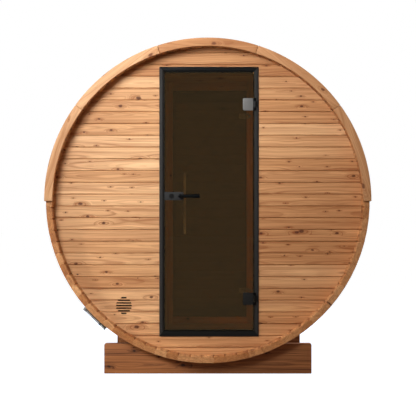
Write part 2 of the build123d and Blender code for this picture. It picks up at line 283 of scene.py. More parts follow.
class Outline:
    """A closed flat outline of lines and arcs in the Y-Z plane, which is extruded along +X."""

    def __init__(self, y: float, z: float) -> None:
        """Start the outline at a point."""
        self.shape = bmesh.new()
        self.first = self.last = self.shape.verts.new((0.0, y, z))

    def lines(self, *corners: Corner) -> "Outline":
        """Draw straight lines from corner to corner.

        Args:
            corners: Y and Z of each corner.

        Returns:
            The outline.
        """
        for corner in corners:
            drawn = self.shape.verts.new((0.0, *corner))
            self.shape.edges.new((self.last, drawn))
            self.last = drawn
        return self

    def arc(self, centre: Corner, degrees: float, steps: int) -> "Outline":
        """Draw an arc round a centre.

        Args:
            centre: Its Y and Z.
            degrees: Sweep, positive from +Y towards +Z.
            steps: Number of chords.

        Returns:
            The outline.
        """
        drawn = bmesh.ops.spin(
            self.shape, geom=[self.last], cent=(0.0, *centre), axis=(1, 0, 0),
            angle=math.radians(degrees), steps=steps,
        )["geom_last"]
        self.last = next(part for part in drawn if isinstance(part, bmesh.types.BMVert))
        return self

    def solid(self, depth: float, grain_in_plane: bool = False) -> Shape:
        """Close the outline and extrude it.

        Args:
            depth: How far it goes along X.
            grain_in_plane: Turn it so that the drawn Y becomes X, along the grain.

        Returns:
            The solid.
        """
        self.shape.edges.new((self.last, self.first))
        bmesh.ops.contextual_create(self.shape, geom=self.shape.edges[:])
        thickened(self.shape, (depth, 0, 0))
        if grain_in_plane:
            turn = axes((0, 0, 1), (1, 0, 0), (0, 1, 0))
            bmesh.ops.transform(self.shape, matrix=turn, verts=self.shape.verts)
        return self.shape


def axes(x: Point, y: Point, z: Point, origin: Point = (0, 0, 0)) -> Matrix:
    """Make the placing matrix that sends a part's own axes to these directions."""
    return Matrix.Translation(origin) @ Matrix((x, y, z)).transposed().to_4x4()


def facing_front(y: float) -> Matrix:
    """Place a part drawn as X along, Y up and Z outwards, with its face at y looking to -Y."""
    return axes((1, 0, 0), (0, 0, 1), (0, -1, 0), (0, y, 0))


def upright_front(y: float) -> Matrix:
    """Place an upright part: its X goes up, its Y goes to -X, and its Z looks to -Y."""
    return axes((0, 0, 1), (-1, 0, 0), (0, -1, 0), (0, y, 0))


def lying(origin: Point) -> Matrix:
    """Place a turned part with its own axis along X."""
    return axes((0, 0, -1), (0, 1, 0), (1, 0, 0), origin)


def round_barrel(angle: float, axis_z: float) -> Matrix:
    """Place a part on the barrel: X along the axis, Y round it and Z outwards from it."""
    across, up = math.sin(math.radians(angle)), math.cos(math.radians(angle))
    return axes((0, 1, 0), (up, 0, across), (across, 0, -up), (0, 0, axis_z))


# ---- material tools ------------------------------------------------------------------------


def paint(chart: Chart) -> Colour:
    """Turn a colour as written on a paint chart, 0 to 255, into linear light."""
    parts = (part / 255 for part in chart)
    return tuple(part / 12.92 if part <= 0.04045 else ((part + 0.055) / 1.055) ** 2.4 for part in parts)


class Nodes:
    """Adds nodes to one tree and wires them together."""

    def __init__(self, tree: bpy.types.NodeTree) -> None:
        """Work on a tree."""
        self.tree = tree

    def find(self, kind: str) -> bpy.types.Node:
        """Find the node of a kind that the tree came with."""
        return next(node for node in self.tree.nodes if node.type == kind)

    def feed(self, node: bpy.types.Node, inputs: Inputs) -> None:
        """Wire a node's inputs, or set them where the value is plain.

        Args:
            node: The node.
            inputs: The value of each input, by its name or number.
        """
        for key, value in inputs.items():
            socket = node.inputs[key]
            if isinstance(value, bpy.types.NodeSocket):
                self.tree.links.new(value, socket)
            elif isinstance(value, tuple) and len(socket.default_value) == 4:
                socket.default_value = (*value, 1.0)
            else:
                socket.default_value = value

    def add(self, kind: str, inputs: Inputs | None = None, **settings: object) -> bpy.types.Node:
        """Add a node.

        Args:
            kind: Its kind.
            inputs: The values of its inputs.
            settings: Its other settings.

        Returns:
            The node.
        """
        node = self.tree.nodes.new(kind)
        for name, value in settings.items():
            setattr(node, name, value)
        self.feed(node, inputs or {})
        return node

    def math(self, operation: str, one: Socket, other: Socket = 0.0, clamp: bool = False) -> Socket:
        """Work out one sum."""
        return self.add("ShaderNodeMath", {0: one, 1: other}, operation=operation, use_clamp=clamp).outputs[0]

    plus = partialmethod(math, "ADD")
    minus = partialmethod(math, "SUBTRACT")
    times = partialmethod(math, "MULTIPLY")

    def vector(self, operation: str, one: Socket, other: Socket = (0.0, 0.0, 0.0)) -> bpy.types.Node:
        """Work out one sum of vectors."""
        return self.add("ShaderNodeVectorMath", {0: one, 1: other}, operation=operation)

    def stretch(self, vector: Socket, x: float, y: float, z: float) -> Socket:
        """Scale a vector along its axes."""
        return self.vector("MULTIPLY", vector, (x, y, z)).outputs[0]

    def noise(self, vector: Socket, scale: float = 1.0, detail: float = 2.0, rough: float = 0.5) -> Socket:
        """Read smooth noise, from 0 to 1."""
        inputs = {"Vector": vector, "Scale": scale, "Detail": detail, "Roughness": rough}
        return self.add("ShaderNodeTexNoise", inputs, noise_dimensions="3D").outputs[0]

    def sway(self, vector: Socket, amount: float, *settings: float) -> Socket:
        """Read smooth noise either side of zero, times an amount."""
        return self.times(self.minus(self.noise(vector, *settings), 0.5), amount)

    def ease(self, value: Socket, low: Socket, high: Socket, start: float = 0.0, end: float = 1.0) -> Socket:
        """Step smoothly from a start to an end as a value goes from low to high."""
        inputs = {"Value": value, "From Min": low, "From Max": high, "To Min": start, "To Max": end}
        return self.add("ShaderNodeMapRange", inputs, interpolation_type="SMOOTHSTEP").outputs[0]

    def mix(self, factor: Socket, one: Socket, other: Socket, blend: str = "MIX") -> Socket:
        """Mix two colours."""
        inputs = {0: factor, 6: one, 7: other}
        return self.add("ShaderNodeMix", inputs, data_type="RGBA", blend_type=blend).outputs[2]

    def bump(self, height: Socket, strength: float, distance: float) -> Socket:
        """Turn a height into a normal that leans as the height does."""
        inputs = {"Strength": strength, "Distance": distance, "Height": height}
        return self.add("ShaderNodeBump", inputs).outputs["Normal"]

    def weighed(self, *terms: tuple[Socket, float]) -> Socket:
        """Add up values.

        Args:
            terms: Each value with its weight.

        Returns:
            The total.
        """
        parts = [self.times(value, weight) for value, weight in terms]
        total = parts[0]
        for part in parts[1:]:
            total = self.plus(total, part)
        return total


class Group:
    """A shared node group with named inputs and outputs."""

    def __init__(self, name: str, inputs: dict[str, str], outputs: dict[str, str]) -> None:
        """Start a group.

        Args:
            name: Its name.
            inputs: Kind of each input socket, by name.
            outputs: Kind of each output socket, by name.
        """
        self.tree = bpy.data.node_groups.new(name, "ShaderNodeTree")
        for way, sockets in (("INPUT", inputs), ("OUTPUT", outputs)):
            for label, kind in sockets.items():
                self.tree.interface.new_socket(name=label, in_out=way, socket_type=f"NodeSocket{kind}")
        self.nodes = Nodes(self.tree)
        self.inputs = self.nodes.add("NodeGroupInput").outputs

    def finished(self, results: dict[str, Socket]) -> bpy.types.NodeTree:
        """Wire the group's outputs, and give its tree."""
        self.nodes.add("NodeGroupOutput", results)
        return self.tree


@cache
def softwood_group() -> bpy.types.NodeTree:
    """Build the pattern of knotty softwood, once.

    It reads where a board lay in its log: X along the grain, with the pith along X at the
    origin of Y and Z.

    Returns:
        The node group.
    """
    group = Group(
        "Knotty softwood",
        {"Grain": "Vector", "Tone": "Float", "Light": "Color", "Dark": "Color", "Knot": "Color",
         "Ring": "Float", "Knots": "Float", "Contrast": "Float"},
        {"Color": "Color", "Roughness": "Float", "Height": "Float"},
    )
    n, given = group.nodes, group.inputs
    grain = given["Grain"]
    across, deep = n.add("ShaderNodeSeparateXYZ", {0: grain}).outputs[1:]

    knots_per_metre = 9.0
    squeezed = n.stretch(grain, 0.62, 1.0, 1.0)
    inputs = {"Vector": squeezed, "Scale": knots_per_metre}
    spots = n.add("ShaderNodeTexVoronoi", inputs, voronoi_dimensions="2D", feature="F1").outputs
    offset = n.vector("SUBTRACT", spots["Position"], squeezed).outputs[0]
    eye = n.vector("LENGTH", n.stretch(offset, 0.5, 1.0, 0.0)).outputs["Value"]
    chance = n.add("ShaderNodeSeparateColor", {0: spots["Color"]}).outputs
    present = n.math("LESS_THAN", chance[0], given["Knots"])
    size = n.plus(0.0038, n.times(n.math("POWER", chance[1], 4.0), 0.0095))
    wobble = n.sway(n.stretch(grain, 0.6, 1.0, 1.0), 0.009, 80.0, 3.0, 0.6)
    away = n.plus(n.math("DIVIDE", spots["Distance"], knots_per_metre), wobble)
    knot = n.times(present, n.ease(away, n.times(size, 0.6), n.times(size, 1.15), 1.0, 0.0))
    around = n.plus(eye, n.times(wobble, 0.6))
    halo = n.times(present, n.ease(around, n.times(size, 0.6), n.times(size, 2.6), 1.0, 0.0))

    side = n.plus(across, n.sway(n.stretch(grain, 1.1, 1.6, 1.6), 0.06))
    elsewhere = n.vector("ADD", n.stretch(grain, 1.3, 1.2, 1.2), (3.1, 7.7, 5.3)).outputs[0]
    depth = n.plus(deep, n.sway(elsewhere, 0.045))
    radius = n.math("SQRT", n.plus(n.times(side, side), n.times(depth, depth)))
    ripple = n.sway(n.stretch(grain, 6.0, 30.0, 30.0), 0.0035, 1.0, 3.0)
    radius = n.plus(n.plus(radius, ripple), n.times(halo, n.times(size, 1.5)))
    ring = n.math("FRACT", n.math("DIVIDE", radius, given["Ring"]))
    late = n.minus(n.ease(ring, 0.3, 0.93), n.ease(ring, 0.93, 1.0))
    inputs = {"W": n.times(radius, 95.0), "Scale": 1.0, "Detail": 3.0, "Roughness": 0.65}
    band = n.ease(n.add("ShaderNodeTexNoise", inputs, noise_dimensions="1D").outputs[0], 0.36, 0.66)

    streak = n.ease(n.noise(n.stretch(grain, 1.6, 55.0, 55.0), 1.0, 3.0, 0.6), 0.34, 0.7)
    zone = n.ease(n.noise(n.stretch(grain, 0.9, 14.0, 14.0), 1.0, 1.0), 0.35, 0.68)
    fibre = n.noise(n.stretch(grain, 9.0, 520.0, 520.0), 1.0, 2.0, 0.7)
    lean = n.minus(fibre, 0.5)
    shade = n.weighed((late, 0.20), (streak, 0.28), (zone, 0.16), (band, 0.34), (lean, 0.3), (halo, 0.28))
    shade = n.math("MULTIPLY", shade, given["Contrast"], clamp=True)
    colour = n.mix(shade, given["Light"], given["Dark"])
    level = n.ease(given["Tone"], 0.0, 1.0, 0.78, 1.18)
    inputs = {0: level, 1: n.math("POWER", level, 1.6), 2: n.math("POWER", level, 2.25)}
    colour = n.mix(1.0, colour, n.add("ShaderNodeCombineColor", inputs).outputs[0], "MULTIPLY")
    inside = n.ease(n.noise(n.stretch(grain, 260.0, 260.0, 260.0)), 0.3, 0.7, 0.75, 1.0)
    return group.finished({
        "Color": n.mix(n.times(knot, inside), colour, given["Knot"]),
        "Roughness": n.plus(0.6, n.times(lean, 0.2)),
        "Height": n.minus(n.weighed((fibre, 0.5), (late, 0.35)), n.times(knot, 0.4)),
    })


@cache
def mottle_group() -> bpy.types.NodeTree:
    """Build a fine two-scale mottle, for metal, rubber and mineral grit, once.

    Returns:
        The node group, with a fine mask, a broad mask and a height.
    """
    group = Group(
        "Fine mottle", {"Point": "Vector", "Fine": "Float", "Broad": "Float"},
        {"Speckle": "Float", "Cloud": "Float", "Height": "Float"},
    )
    n, given = group.nodes, group.inputs
    fine = n.noise(given["Point"], given["Fine"], 3.0, 0.6)
    broad = n.noise(given["Point"], given["Broad"], 3.0, 0.55)
    speckle, cloud = n.ease(fine, 0.35, 0.65), n.ease(broad, 0.3, 0.7)
    return group.finished({"Speckle": speckle, "Cloud": cloud, "Height": fine})


@dataclass(frozen=True)
class Finish:
    """What a piece is made of, and the material slot of the record that it belongs to."""

    name: str
    slot: str

    def start(self) -> tuple[bpy.types.Material, Nodes, bpy.types.Node]:
        """Start the material.

        Returns:
            The material, its nodes and its Principled shader.
        """
        material = bpy.data.materials.new(self.name)
        material.use_nodes = True
        nodes = Nodes(material.node_tree)
        return material, nodes, nodes.find("BSDF_PRINCIPLED")

    def material(self) -> bpy.types.Material:
        """Build the material; each kind of finish has its own way."""
        raise NotImplementedError


@dataclass(frozen=True)
class SoftwoodFinish(Finish):
    """Planed and oiled knotty softwood."""

    light: Chart
    dark: Chart
    knot: Chart
    ring: float = 0.0048
    knots: float = 0.7
    contrast: float = 1.0
    relief: float = 0.35
    grain_depth: float = 0.0006
    gloss: float = 0.22

    def material(self) -> bpy.types.Material:
        """Build the material, which reads the piece's grain and tone.

        Returns:
            The material.
        """
        material, n, shader = self.start()
        grain = n.add("ShaderNodeAttribute", attribute_name="grain")
        tone = n.add("ShaderNodeAttribute", attribute_name="tone")
        inputs = {
            "Grain": grain.outputs["Vector"], "Tone": tone.outputs["Fac"], "Light": paint(self.light),
            "Dark": paint(self.dark), "Knot": paint(self.knot), "Ring": self.ring, "Knots": self.knots,
            "Contrast": self.contrast,
        }
        wood = n.add("ShaderNodeGroup", inputs, node_tree=softwood_group()).outputs
        n.feed(shader, {
            "Base Color": wood["Color"], "Roughness": wood["Roughness"], "Specular IOR Level": self.gloss,
            "Normal": n.bump(wood["Height"], self.relief, self.grain_depth),
        })
        return material


@dataclass(frozen=True)
class MottledFinish(Finish):
    """A dense material with a fine mottle: coated or bare metal, rubber, or mineral grit."""

    base: Chart
    second: Chart
    roughness: float = 0.5
    metallic: float = 0.0
    fine: float = 900.0
    broad: float = 14.0
    relief: float = 0.15
    grain_depth: float = 0.0003
    spread: float = 0.12
    gloss: float = 0.5

    def material(self) -> bpy.types.Material:
        """Build the material, which reads Object coordinates.

        Returns:
            The material.
        """
        material, n, shader = self.start()
        point = n.add("ShaderNodeTexCoord").outputs["Object"]
        inputs = {"Point": point, "Fine": self.fine, "Broad": self.broad}
        mottle = n.add("ShaderNodeGroup", inputs, node_tree=mottle_group()).outputs
        patch = n.weighed((mottle["Speckle"], 0.6), (mottle["Cloud"], 0.4))
        low, high = self.roughness - self.spread, self.roughness + self.spread
        n.feed(shader, {
            "Base Color": n.mix(patch, paint(self.base), paint(self.second)),
            "Roughness": n.ease(patch, 0.0, 1.0, low, high), "Metallic": self.metallic,
            "Specular IOR Level": self.gloss,
            "Normal": n.bump(mottle["Height"], self.relief, self.grain_depth),
        })
        return material


@dataclass(frozen=True)
class TintedGlassFinish(Finish):
    """Toughened glass with a body tint."""

    tint: Chart
    sheen: Chart

    def material(self) -> bpy.types.Material:
        """Build the material; lamps shine through it with its tint.

        Returns:
            The material.
        """
        material, n, shader = self.start()
        tint = paint(self.tint)
        smear = n.noise(n.add("ShaderNodeTexCoord").outputs["Object"], 3.0, 3.0)
        n.feed(shader, {
            "Base Color": tint, "Transmission Weight": 1.0, "Metallic": 0.0,
            "Specular Tint": paint(self.sheen), "Roughness": n.ease(smear, 0.3, 0.8, 0.0, 0.02),
        })
        clear = n.add("ShaderNodeBsdfTransparent", {"Color": tint})
        shade = n.add("ShaderNodeLightPath").outputs["Is Shadow Ray"]
        blend = n.add("ShaderNodeMixShader", {0: shade, 1: shader.outputs[0], 2: clear.outputs[0]})
        n.feed(n.find("OUTPUT_MATERIAL"), {"Surface": blend.outputs[0]})
        return material


WALL_WOOD = SoftwoodFinish(
    "Wall softwood", "wall_wood", (236, 183, 129), (158, 95, 52), (78, 34, 13), knots=0.9
)
STAVE_WOOD = SoftwoodFinish(
    "Stave softwood", "stave_wood", (216, 156, 100), (136, 78, 42), (64, 34, 16), knots=0.45
)
FASCIA_WOOD = SoftwoodFinish(
    "Fascia softwood", "fascia_wood", (214, 162, 114), (164, 106, 62), (104, 56, 32), knots=0.5
)
CRADLE_WOOD = SoftwoodFinish(
    "Cradle softwood", "cradle_wood", (194, 130, 80), (88, 48, 24), (44, 24, 12), ring=0.012, knots=0.6,
    contrast=1.15,
)
FLOOR_WOOD = SoftwoodFinish("Floor softwood", "floor_wood", (206, 160, 116), (160, 108, 68), (70, 38, 18))
JOINERY_WOOD = SoftwoodFinish(
    "Joinery softwood", "joinery_wood", (214, 146, 92), (160, 94, 50), (70, 38, 18), knots=0.3
)
PULL_WOOD = SoftwoodFinish(
    "Pull softwood", "joinery_wood", (248, 244, 240), (230, 222, 214), (120, 90, 60), knots=0.0
)
BLACK_COAT = MottledFinish("Black powder coat", "black_metal", (15, 14, 13), (21, 20, 18), gloss=0.05)
CLAMP_COAT = MottledFinish("Black clamp coat", "black_metal", (27, 27, 26), (33, 32, 31), gloss=0.06)
# The jambs are the same black coat as the head and sill; this lighter copy is a painted sheen.
JAMB_COAT_PAINTED_SHEEN = MottledFinish("Black jamb coat, painted sheen", "black_metal", (43, 41, 39), (51, 49, 47), gloss=0.06)
PLATE_COAT = MottledFinish("Black plate coat", "black_metal", (40, 40, 39), (47, 46, 45), gloss=0.08)
EAR_BLACK = MottledFinish(
    "Black ear enamel", "black_metal", (1, 1, 1), (3, 3, 3), 0.4, gloss=0.03, spread=0.03
)
LEVER_BLACK = replace(EAR_BLACK, name="Black lever enamel", roughness=0.42, gloss=0.05)
SATIN_GREY = MottledFinish(
    "Satin grey steel", "black_metal", (108, 106, 102), (95, 93, 90), metallic=0.15, fine=500.0, gloss=0.3
)
ZINC = MottledFinish(
    "Zinc plate", "zinc_steel", (160, 160, 157), (134, 135, 135), 0.4, 0.35, fine=260.0, broad=40.0, gloss=0.3
)
DARK_STEEL = MottledFinish(
    "Dark steel", "zinc_steel", (66, 66, 62), (52, 52, 49), metallic=0.2, fine=300.0, gloss=0.15
)
HINGE_STEEL = MottledFinish("Brushed hinge steel", "hinge_steel", (150, 148, 144), (120, 118, 115), 0.34, 0.9)
RUBBER = MottledFinish("Black rubber", "black_rubber", (12, 12, 12), (18, 17, 17), 0.7, gloss=0.1)
FELT = MottledFinish(
    "Mineral felt", "roof_felt", (52, 50, 48), (92, 88, 84), 0.9, fine=700.0, broad=6.0, relief=0.6,
    grain_depth=0.0008, spread=0.05,
)
SCREEN = MottledFinish(
    "Black insect screen", "black_metal", (10, 9, 8), (20, 18, 16), 0.8, fine=1200.0, relief=0.5, gloss=0.1
)
BRONZE_GLASS = TintedGlassFinish("Bronze glass", "bronze_glass", (164, 140, 106), (196, 168, 124))


# ---- timber and pieces ---------------------------------------------------------------------


@dataclass(frozen=True)
class Timber:
    """Where one board lay in its log, and how light it came out."""

    tone: float = 0.5
    along: float = 0.0
    across: float = 0.0
    deep: float = 0.05


class Timberyard:
    """Hands out boards, the same ones on every run."""

    def __init__(self, seed: int) -> None:
        """Stack the yard from a seed."""
        self.stack = random.Random(seed)

    def board(
        self, near: float = 0.025, far: float = 0.09, tone: float = 0.5, spread: float = 0.12
    ) -> Timber:
        """Pick a board.

        Args:
            near: Least distance of the pith behind the board's middle.
            far: Greatest distance.
            tone: How light it is on the whole, from 0 to 1.
            spread: How much that varies.

        Returns:
            The board.
        """
        pick = self.stack
        return Timber(
            tone=min(1.0, max(0.0, pick.gauss(tone, spread))), along=pick.uniform(0.0, 60.0),
            across=pick.uniform(-0.04, 0.04), deep=pick.uniform(near, far) * pick.choice((-1, 1)),
        )


@dataclass
class Piece:
    """One shown object, put together from shaped parts.

    It moves with a CAD body, and stands for the CAD nodes that it names.
    """

    name: str
    finish: Finish
    stands_for: Sequence[str] = ()
    body: str = "root"
    smooth_below: float = 32.0
    whole: Shape = field(default_factory=bmesh.new)
    grain: list[np.ndarray] = field(default_factory=list)
    tone: list[np.ndarray] = field(default_factory=list)

    def add(
        self, part: Shape, place: Matrix = Matrix.Identity(4), timber: Timber = Timber(),
        middle: Point | None = None,
    ) -> "Piece":
        """Put a part in its place. The part is used up.

        Args:
            part: The part, in its own frame: X along the grain, Y across, Z the face.
            place: Where it goes.
            timber: The board that it is cut from.
            middle: Middle of that board in the part's frame, or None for the part's own.

        Returns:
            The piece.
        """
        mesh = bpy.data.meshes.new("part")
        part.to_mesh(mesh)
        part.free()
        points = np.empty(len(mesh.vertices) * 3, np.float32)
        mesh.vertices.foreach_get("co", points)
        points = points.reshape(-1, 3)
        centre = (points.min(0) + points.max(0)) / 2 if middle is None else np.array(middle, np.float32)
        shift = np.array((timber.along, timber.across, timber.deep), np.float32)
        self.grain.append(points - centre + shift)
        self.tone.append(np.full(len(points), timber.tone, np.float32))
        mesh.transform(place)
        if place.determinant() < 0:
            mesh.flip_normals()
        self.whole.from_mesh(mesh)
        bpy.data.meshes.remove(mesh)
        return self

    def finished(self) -> None:
        """Make the object, give it its material and hang it on its body."""
        made = mesh_object(self.name, self.whole)
        mesh = made.data
        grain, tone = np.concatenate(self.grain).ravel(), np.concatenate(self.tone)
        mesh.attributes.new("grain", "FLOAT_VECTOR", "POINT").data.foreach_set("vector", grain)
        mesh.attributes.new("tone", "FLOAT", "POINT").data.foreach_set("value", tone)
        mesh.polygons.foreach_set("use_smooth", np.ones(len(mesh.polygons), bool))
        mesh.set_sharp_from_angle(angle=math.radians(self.smooth_below))
        mesh.materials.append(bpy.data.materials.get(self.finish.name) or self.finish.material())
        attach(made, self.body)
        if self.stands_for:
            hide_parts(*self.stands_for)
        nodes = ", ".join(self.stands_for) or "no node"
        log.info("%s: %d faces, for %s", self.name, len(mesh.polygons), nodes)


# ---- barrel --------------------------------------------------------------------------------


@dataclass
class Timberwork:
    """A sub-assembly sawn from a yard's boards, round the barrel's axis."""

    yard: Timberyard
    axis_z: float


class Joint(Enum):
    """How one side of a stave meets its neighbour; the number is the turn of the arc."""

    BEAD = -1
    COVE = 1


@dataclass
class StaveShell(Timberwork):
    """The barrel's staves, with rounded tongue and groove, in twelve sets of seven."""

    outer: float
    thickness: float
    front: float
    rear: float
    count: int = 84
    sets: int = 12
    gap: float = 0.00012
    chamfer: float = 0.0016
    inner_chamfer: float = 0.008
    bead_from: float = 0.009
    bead_to: float = 0.033
    bead_rise: float = 0.005
    bead_steps: int = 6
    end_bevel: float = 0.0014

    def side_point(self, side: int, radius: float, out: float = 0.0) -> Corner:
        """Find a point on a side face of a stave.

        Args:
            side: 1 for the side towards +Y of the stave's frame, -1 for the other.
            radius: Distance from the barrel's axis along the side.
            out: Distance beyond the side face.

        Returns:
            Its Y and Z in the stave's frame.
        """
        half, off = math.pi / self.count, out - self.gap
        y, z = radius * math.sin(half) + off * math.cos(half), radius * math.cos(half) - off * math.sin(half)
        return side * y, z

    def stave(self, right: Joint, left: Joint) -> Shape:
        """Make one stave in its own frame.

        Args:
            right: Joint on the side towards +Y.
            left: Joint on the other side.

        Returns:
            The stave.
        """
        inner = self.outer - self.thickness
        half_chord = (self.bead_to - self.bead_from) / 2
        arc_radius = (half_chord**2 + self.bead_rise**2) / (2 * self.bead_rise)
        sweep = 2 * math.degrees(math.asin(half_chord / arc_radius))
        middle = inner + (self.bead_from + self.bead_to) / 2
        off = arc_radius - self.bead_rise
        top_y, top_z = self.side_point(1, self.outer)
        low_y, low_z = self.side_point(1, inner)
        top_y, low_y = top_y - self.chamfer, low_y - self.inner_chamfer
        shoulder, foot = self.outer - self.chamfer, inner + self.inner_chamfer
        outline = Outline(-top_y, top_z).lines(
            (top_y, top_z), self.side_point(1, shoulder), self.side_point(1, inner + self.bead_to)
        )
        outline.arc(self.side_point(1, middle, right.value * off), right.value * sweep, self.bead_steps)
        outline.lines(
            self.side_point(1, foot), (low_y, low_z), (-low_y, low_z), self.side_point(-1, foot),
            self.side_point(-1, inner + self.bead_from),
        )
        outline.arc(self.side_point(-1, middle, left.value * off), left.value * sweep, self.bead_steps)
        shape = outline.lines(self.side_point(-1, shoulder)).solid(self.rear - self.front)
        bmesh.ops.translate(shape, vec=(self.front, 0, 0), verts=shape.verts)
        ends = [e for e in shape.edges if abs(e.verts[0].co.x - e.verts[1].co.x) < SAME]
        return ease(shape, self.end_bevel, ends)

    def joints(self, number: int) -> tuple[Joint, Joint]:
        """Choose the joints of a stave so that every bead points up, which keeps rain out.

        Args:
            number: Its place, counted from the bottom.

        Returns:
            Its right and its left joint.
        """
        if number in (0, self.count // 2):
            return (Joint.COVE, Joint.COVE) if number else (Joint.BEAD, Joint.BEAD)
        return (Joint.BEAD, Joint.COVE) if number < self.count // 2 else (Joint.COVE, Joint.BEAD)

    def build(self) -> None:
        """Build the twelve sets."""
        per_set = self.count // self.sets
        for group in range(self.sets):
            piece = Piece(f"staves_{group + 1:02d}", STAVE_WOOD, [f"stave_set_{group + 1:02d}"])
            first = group * per_set - per_set // 2
            for number in range(first, first + per_set):
                number %= self.count
                place = round_barrel(number * 2 * HALF_TURN / self.count, self.axis_z)
                timber = self.yard.board(near=0.03, far=0.12, tone=0.55, spread=0.3)
                piece.add(self.stave(*self.joints(number)), place, timber)
            piece.finished()


@dataclass(frozen=True)
class Stretch:
    """A length of one board in a wall, or the opening in it."""

    left: float
    right: float
    low: float
    high: float


@dataclass(frozen=True)
class Vent:
    """The round field of slots milled through the front wall."""

    x: float
    z: float
    radius: float = 0.060
    slots: int = 7
    pitch: float = 0.0185
    height: float = 0.0115
    rim: float = 0.004
    screen_depths: Corner = (0.006, 0.0015)
    cutter: float = 0.2

    def screen(self, rear: float) -> None:
        """Build the black insect screen behind the slots.

        Args:
            rear: Y of the wall's rear face, which the screen stays just inside.
        """
        start, end = ((self.x, rear - depth, self.z) for depth in self.screen_depths)
        disc = rod(self.radius + self.rim, start, end, 64)
        Piece("vent_screen", SCREEN, ["air_vent"]).add(disc).finished()

    def cut(self, shape: Shape, stretch: Stretch) -> Shape:
        """Cut the slots through a length of board, where they meet it.

        Args:
            shape: The board.
            stretch: Where it is in the wall.

        Returns:
            What is left.
        """
        for number in range(self.slots):
            rise = (number - (self.slots - 1) / 2) * self.pitch
            z, half_height = self.z + rise, self.height / 2
            level = stretch.low - self.height < z < stretch.high + self.height
            if level and stretch.left < self.x < stretch.right:
                half = math.sqrt(self.radius**2 - rise**2) - self.height / 4
                low, high = (self.x - half, z - half_height), (self.x + half, z + half_height)
                cutter = block((*low, -self.cutter), (*high, self.cutter))
                ease(cutter, half_height * NEARLY, edges_along(cutter, 2), 5)
                shape = carve(shape, cutter)
        return shape


@dataclass
class BoardedWall(Timberwork):
    """A round wall of level boards with V joints, clipped to the inside of the barrel.

    The tones are of boards left and right of the opening, and of whole boards low and high; set apart, they
    paint light and shade.
    """

    name: str
    nodes: Sequence[str]
    front: float
    rear: float
    opening: Stretch | None = None
    vent: Vent | None = None
    tones: tuple[float, float] = (0.5, 0.5)
    whole_tones: tuple[float, float] = (0.5, 0.5)
    radius: float = 1.0835
    pitch: float = 0.0831
    first_seam: float = -0.0322
    play: float = 0.0012
    front_chamfer: float = 0.0046
    rear_chamfer: float = 0.003
    tongue_depth: float = 0.010
    spare: float = 0.02
    facet: float = 2.5

    def bar(self, stretch: Stretch, seams: tuple[bool, bool]) -> Shape:
        """Make a length of board.

        Args:
            stretch: Where it is in the wall.
            seams: Whether its lower and its upper edge meet another board.

        Returns:
            The bar, with its face at depth 0.
        """
        rear = self.front - self.rear
        shape = block((stretch.left, stretch.low, rear), (stretch.right, stretch.high, 0.0))
        for level, chamfered in zip((stretch.low, stretch.high), seams):
            for depth, width in ((0.0, self.front_chamfer), (rear, self.rear_chamfer)):
                chosen = [
                    edge for edge in edges_along(shape, 0)
                    if (Vector((level, depth)) - edge.verts[0].co.yz).length < SAME
                ]
                if chamfered and chosen:
                    ease(shape, width, chosen)
        return shape

    def tongue(self, gap: Stretch) -> Shape:
        """Make the tongue that closes the gap above a bar."""
        middle, half = (self.front - self.rear) / 2, self.tongue_depth / 2
        return block((gap.left, gap.low - HAIR, middle - half), (gap.right, gap.high + HAIR, middle + half))

    def fitted(self, shape: Shape, stretch: Stretch) -> Shape:
        """Clip a bar or a tongue to the round of the barrel, and cut the vent's slots through it.

        Args:
            shape: The bar or tongue.
            stretch: Where it is in the wall.

        Returns:
            The fitted shape.
        """
        rises = ((z - self.axis_z) / self.radius for z in (stretch.low, stretch.high))
        start, end = (math.asin(max(-1.0, min(1.0, rise))) for rise in rises)
        steps = max(1, math.ceil(math.degrees(end - start) / self.facet))
        for step in range(steps + 1):
            angle = start + (end - start) * step / steps
            for side in (-1, 1):
                normal = Vector((side * math.cos(angle), math.sin(angle), 0.0))
                clip(shape, normal * self.radius + Vector((0, self.axis_z, 0)), normal)
        return self.vent.cut(shape, stretch) if self.vent else shape

    def bars(self, low: float, high: float) -> list[Stretch]:
        """List the bars of one row.

        Args:
            low: The row's lower edge.
            high: Its upper edge.

        Returns:
            The bars; those beside the opening come first.
        """
        far, hole = self.radius + self.spare, self.opening
        if hole is None or low >= hole.high or high <= hole.low:
            return [Stretch(-far, far, low, high)]
        found = [Stretch(-far, hole.left, low, high), Stretch(hole.right, far, low, high)]
        if high > hole.high:
            found.append(Stretch(hole.left, hole.right, hole.high, high))
        if low < hole.low:
            found.append(Stretch(hole.left, hole.right, low, hole.low))
        return found

    def build(self) -> None:
        """Build the wall."""
        piece, place = Piece(self.name, WALL_WOOD, self.nodes), facing_front(self.front)
        first = math.floor((-self.radius - self.first_seam) / self.pitch)
        last = math.ceil((self.radius - self.first_seam) / self.pitch)
        for row in range(first, last):
            low = self.axis_z + self.first_seam + row * self.pitch + self.play
            high = low + self.pitch - 2 * self.play
            middle = (0.0, (low + high) / 2, (self.front - self.rear) / 2)
            # A whole board takes the low or high tone; on the front wall the darker high one is painted
            # shade.
            timber = self.yard.board(tone=self.whole_tones[middle[1] > self.axis_z])
            parted = self.opening is not None and self.opening.low < low and high < self.opening.high
            for stretch in self.bars(low, high):
                if parted:
                    # A board beside the opening takes the left or right tone; on the front wall the left is
                    # painted light and the right painted shade.
                    timber = self.yard.board(tone=self.tones[stretch.left > 0])
                bar = self.fitted(self.bar(stretch, (stretch.low == low, stretch.high == high)), stretch)
                if bar.verts:
                    piece.add(bar, place, timber, middle)
                if stretch.high == high and high + self.pitch < self.axis_z + self.radius:
                    gap = replace(stretch, low=high, high=high + 2 * self.play)
                    piece.add(self.fitted(self.tongue(gap), gap), place, timber, middle)
        if self.vent:
            self.vent.screen(self.rear)
        piece.finished()


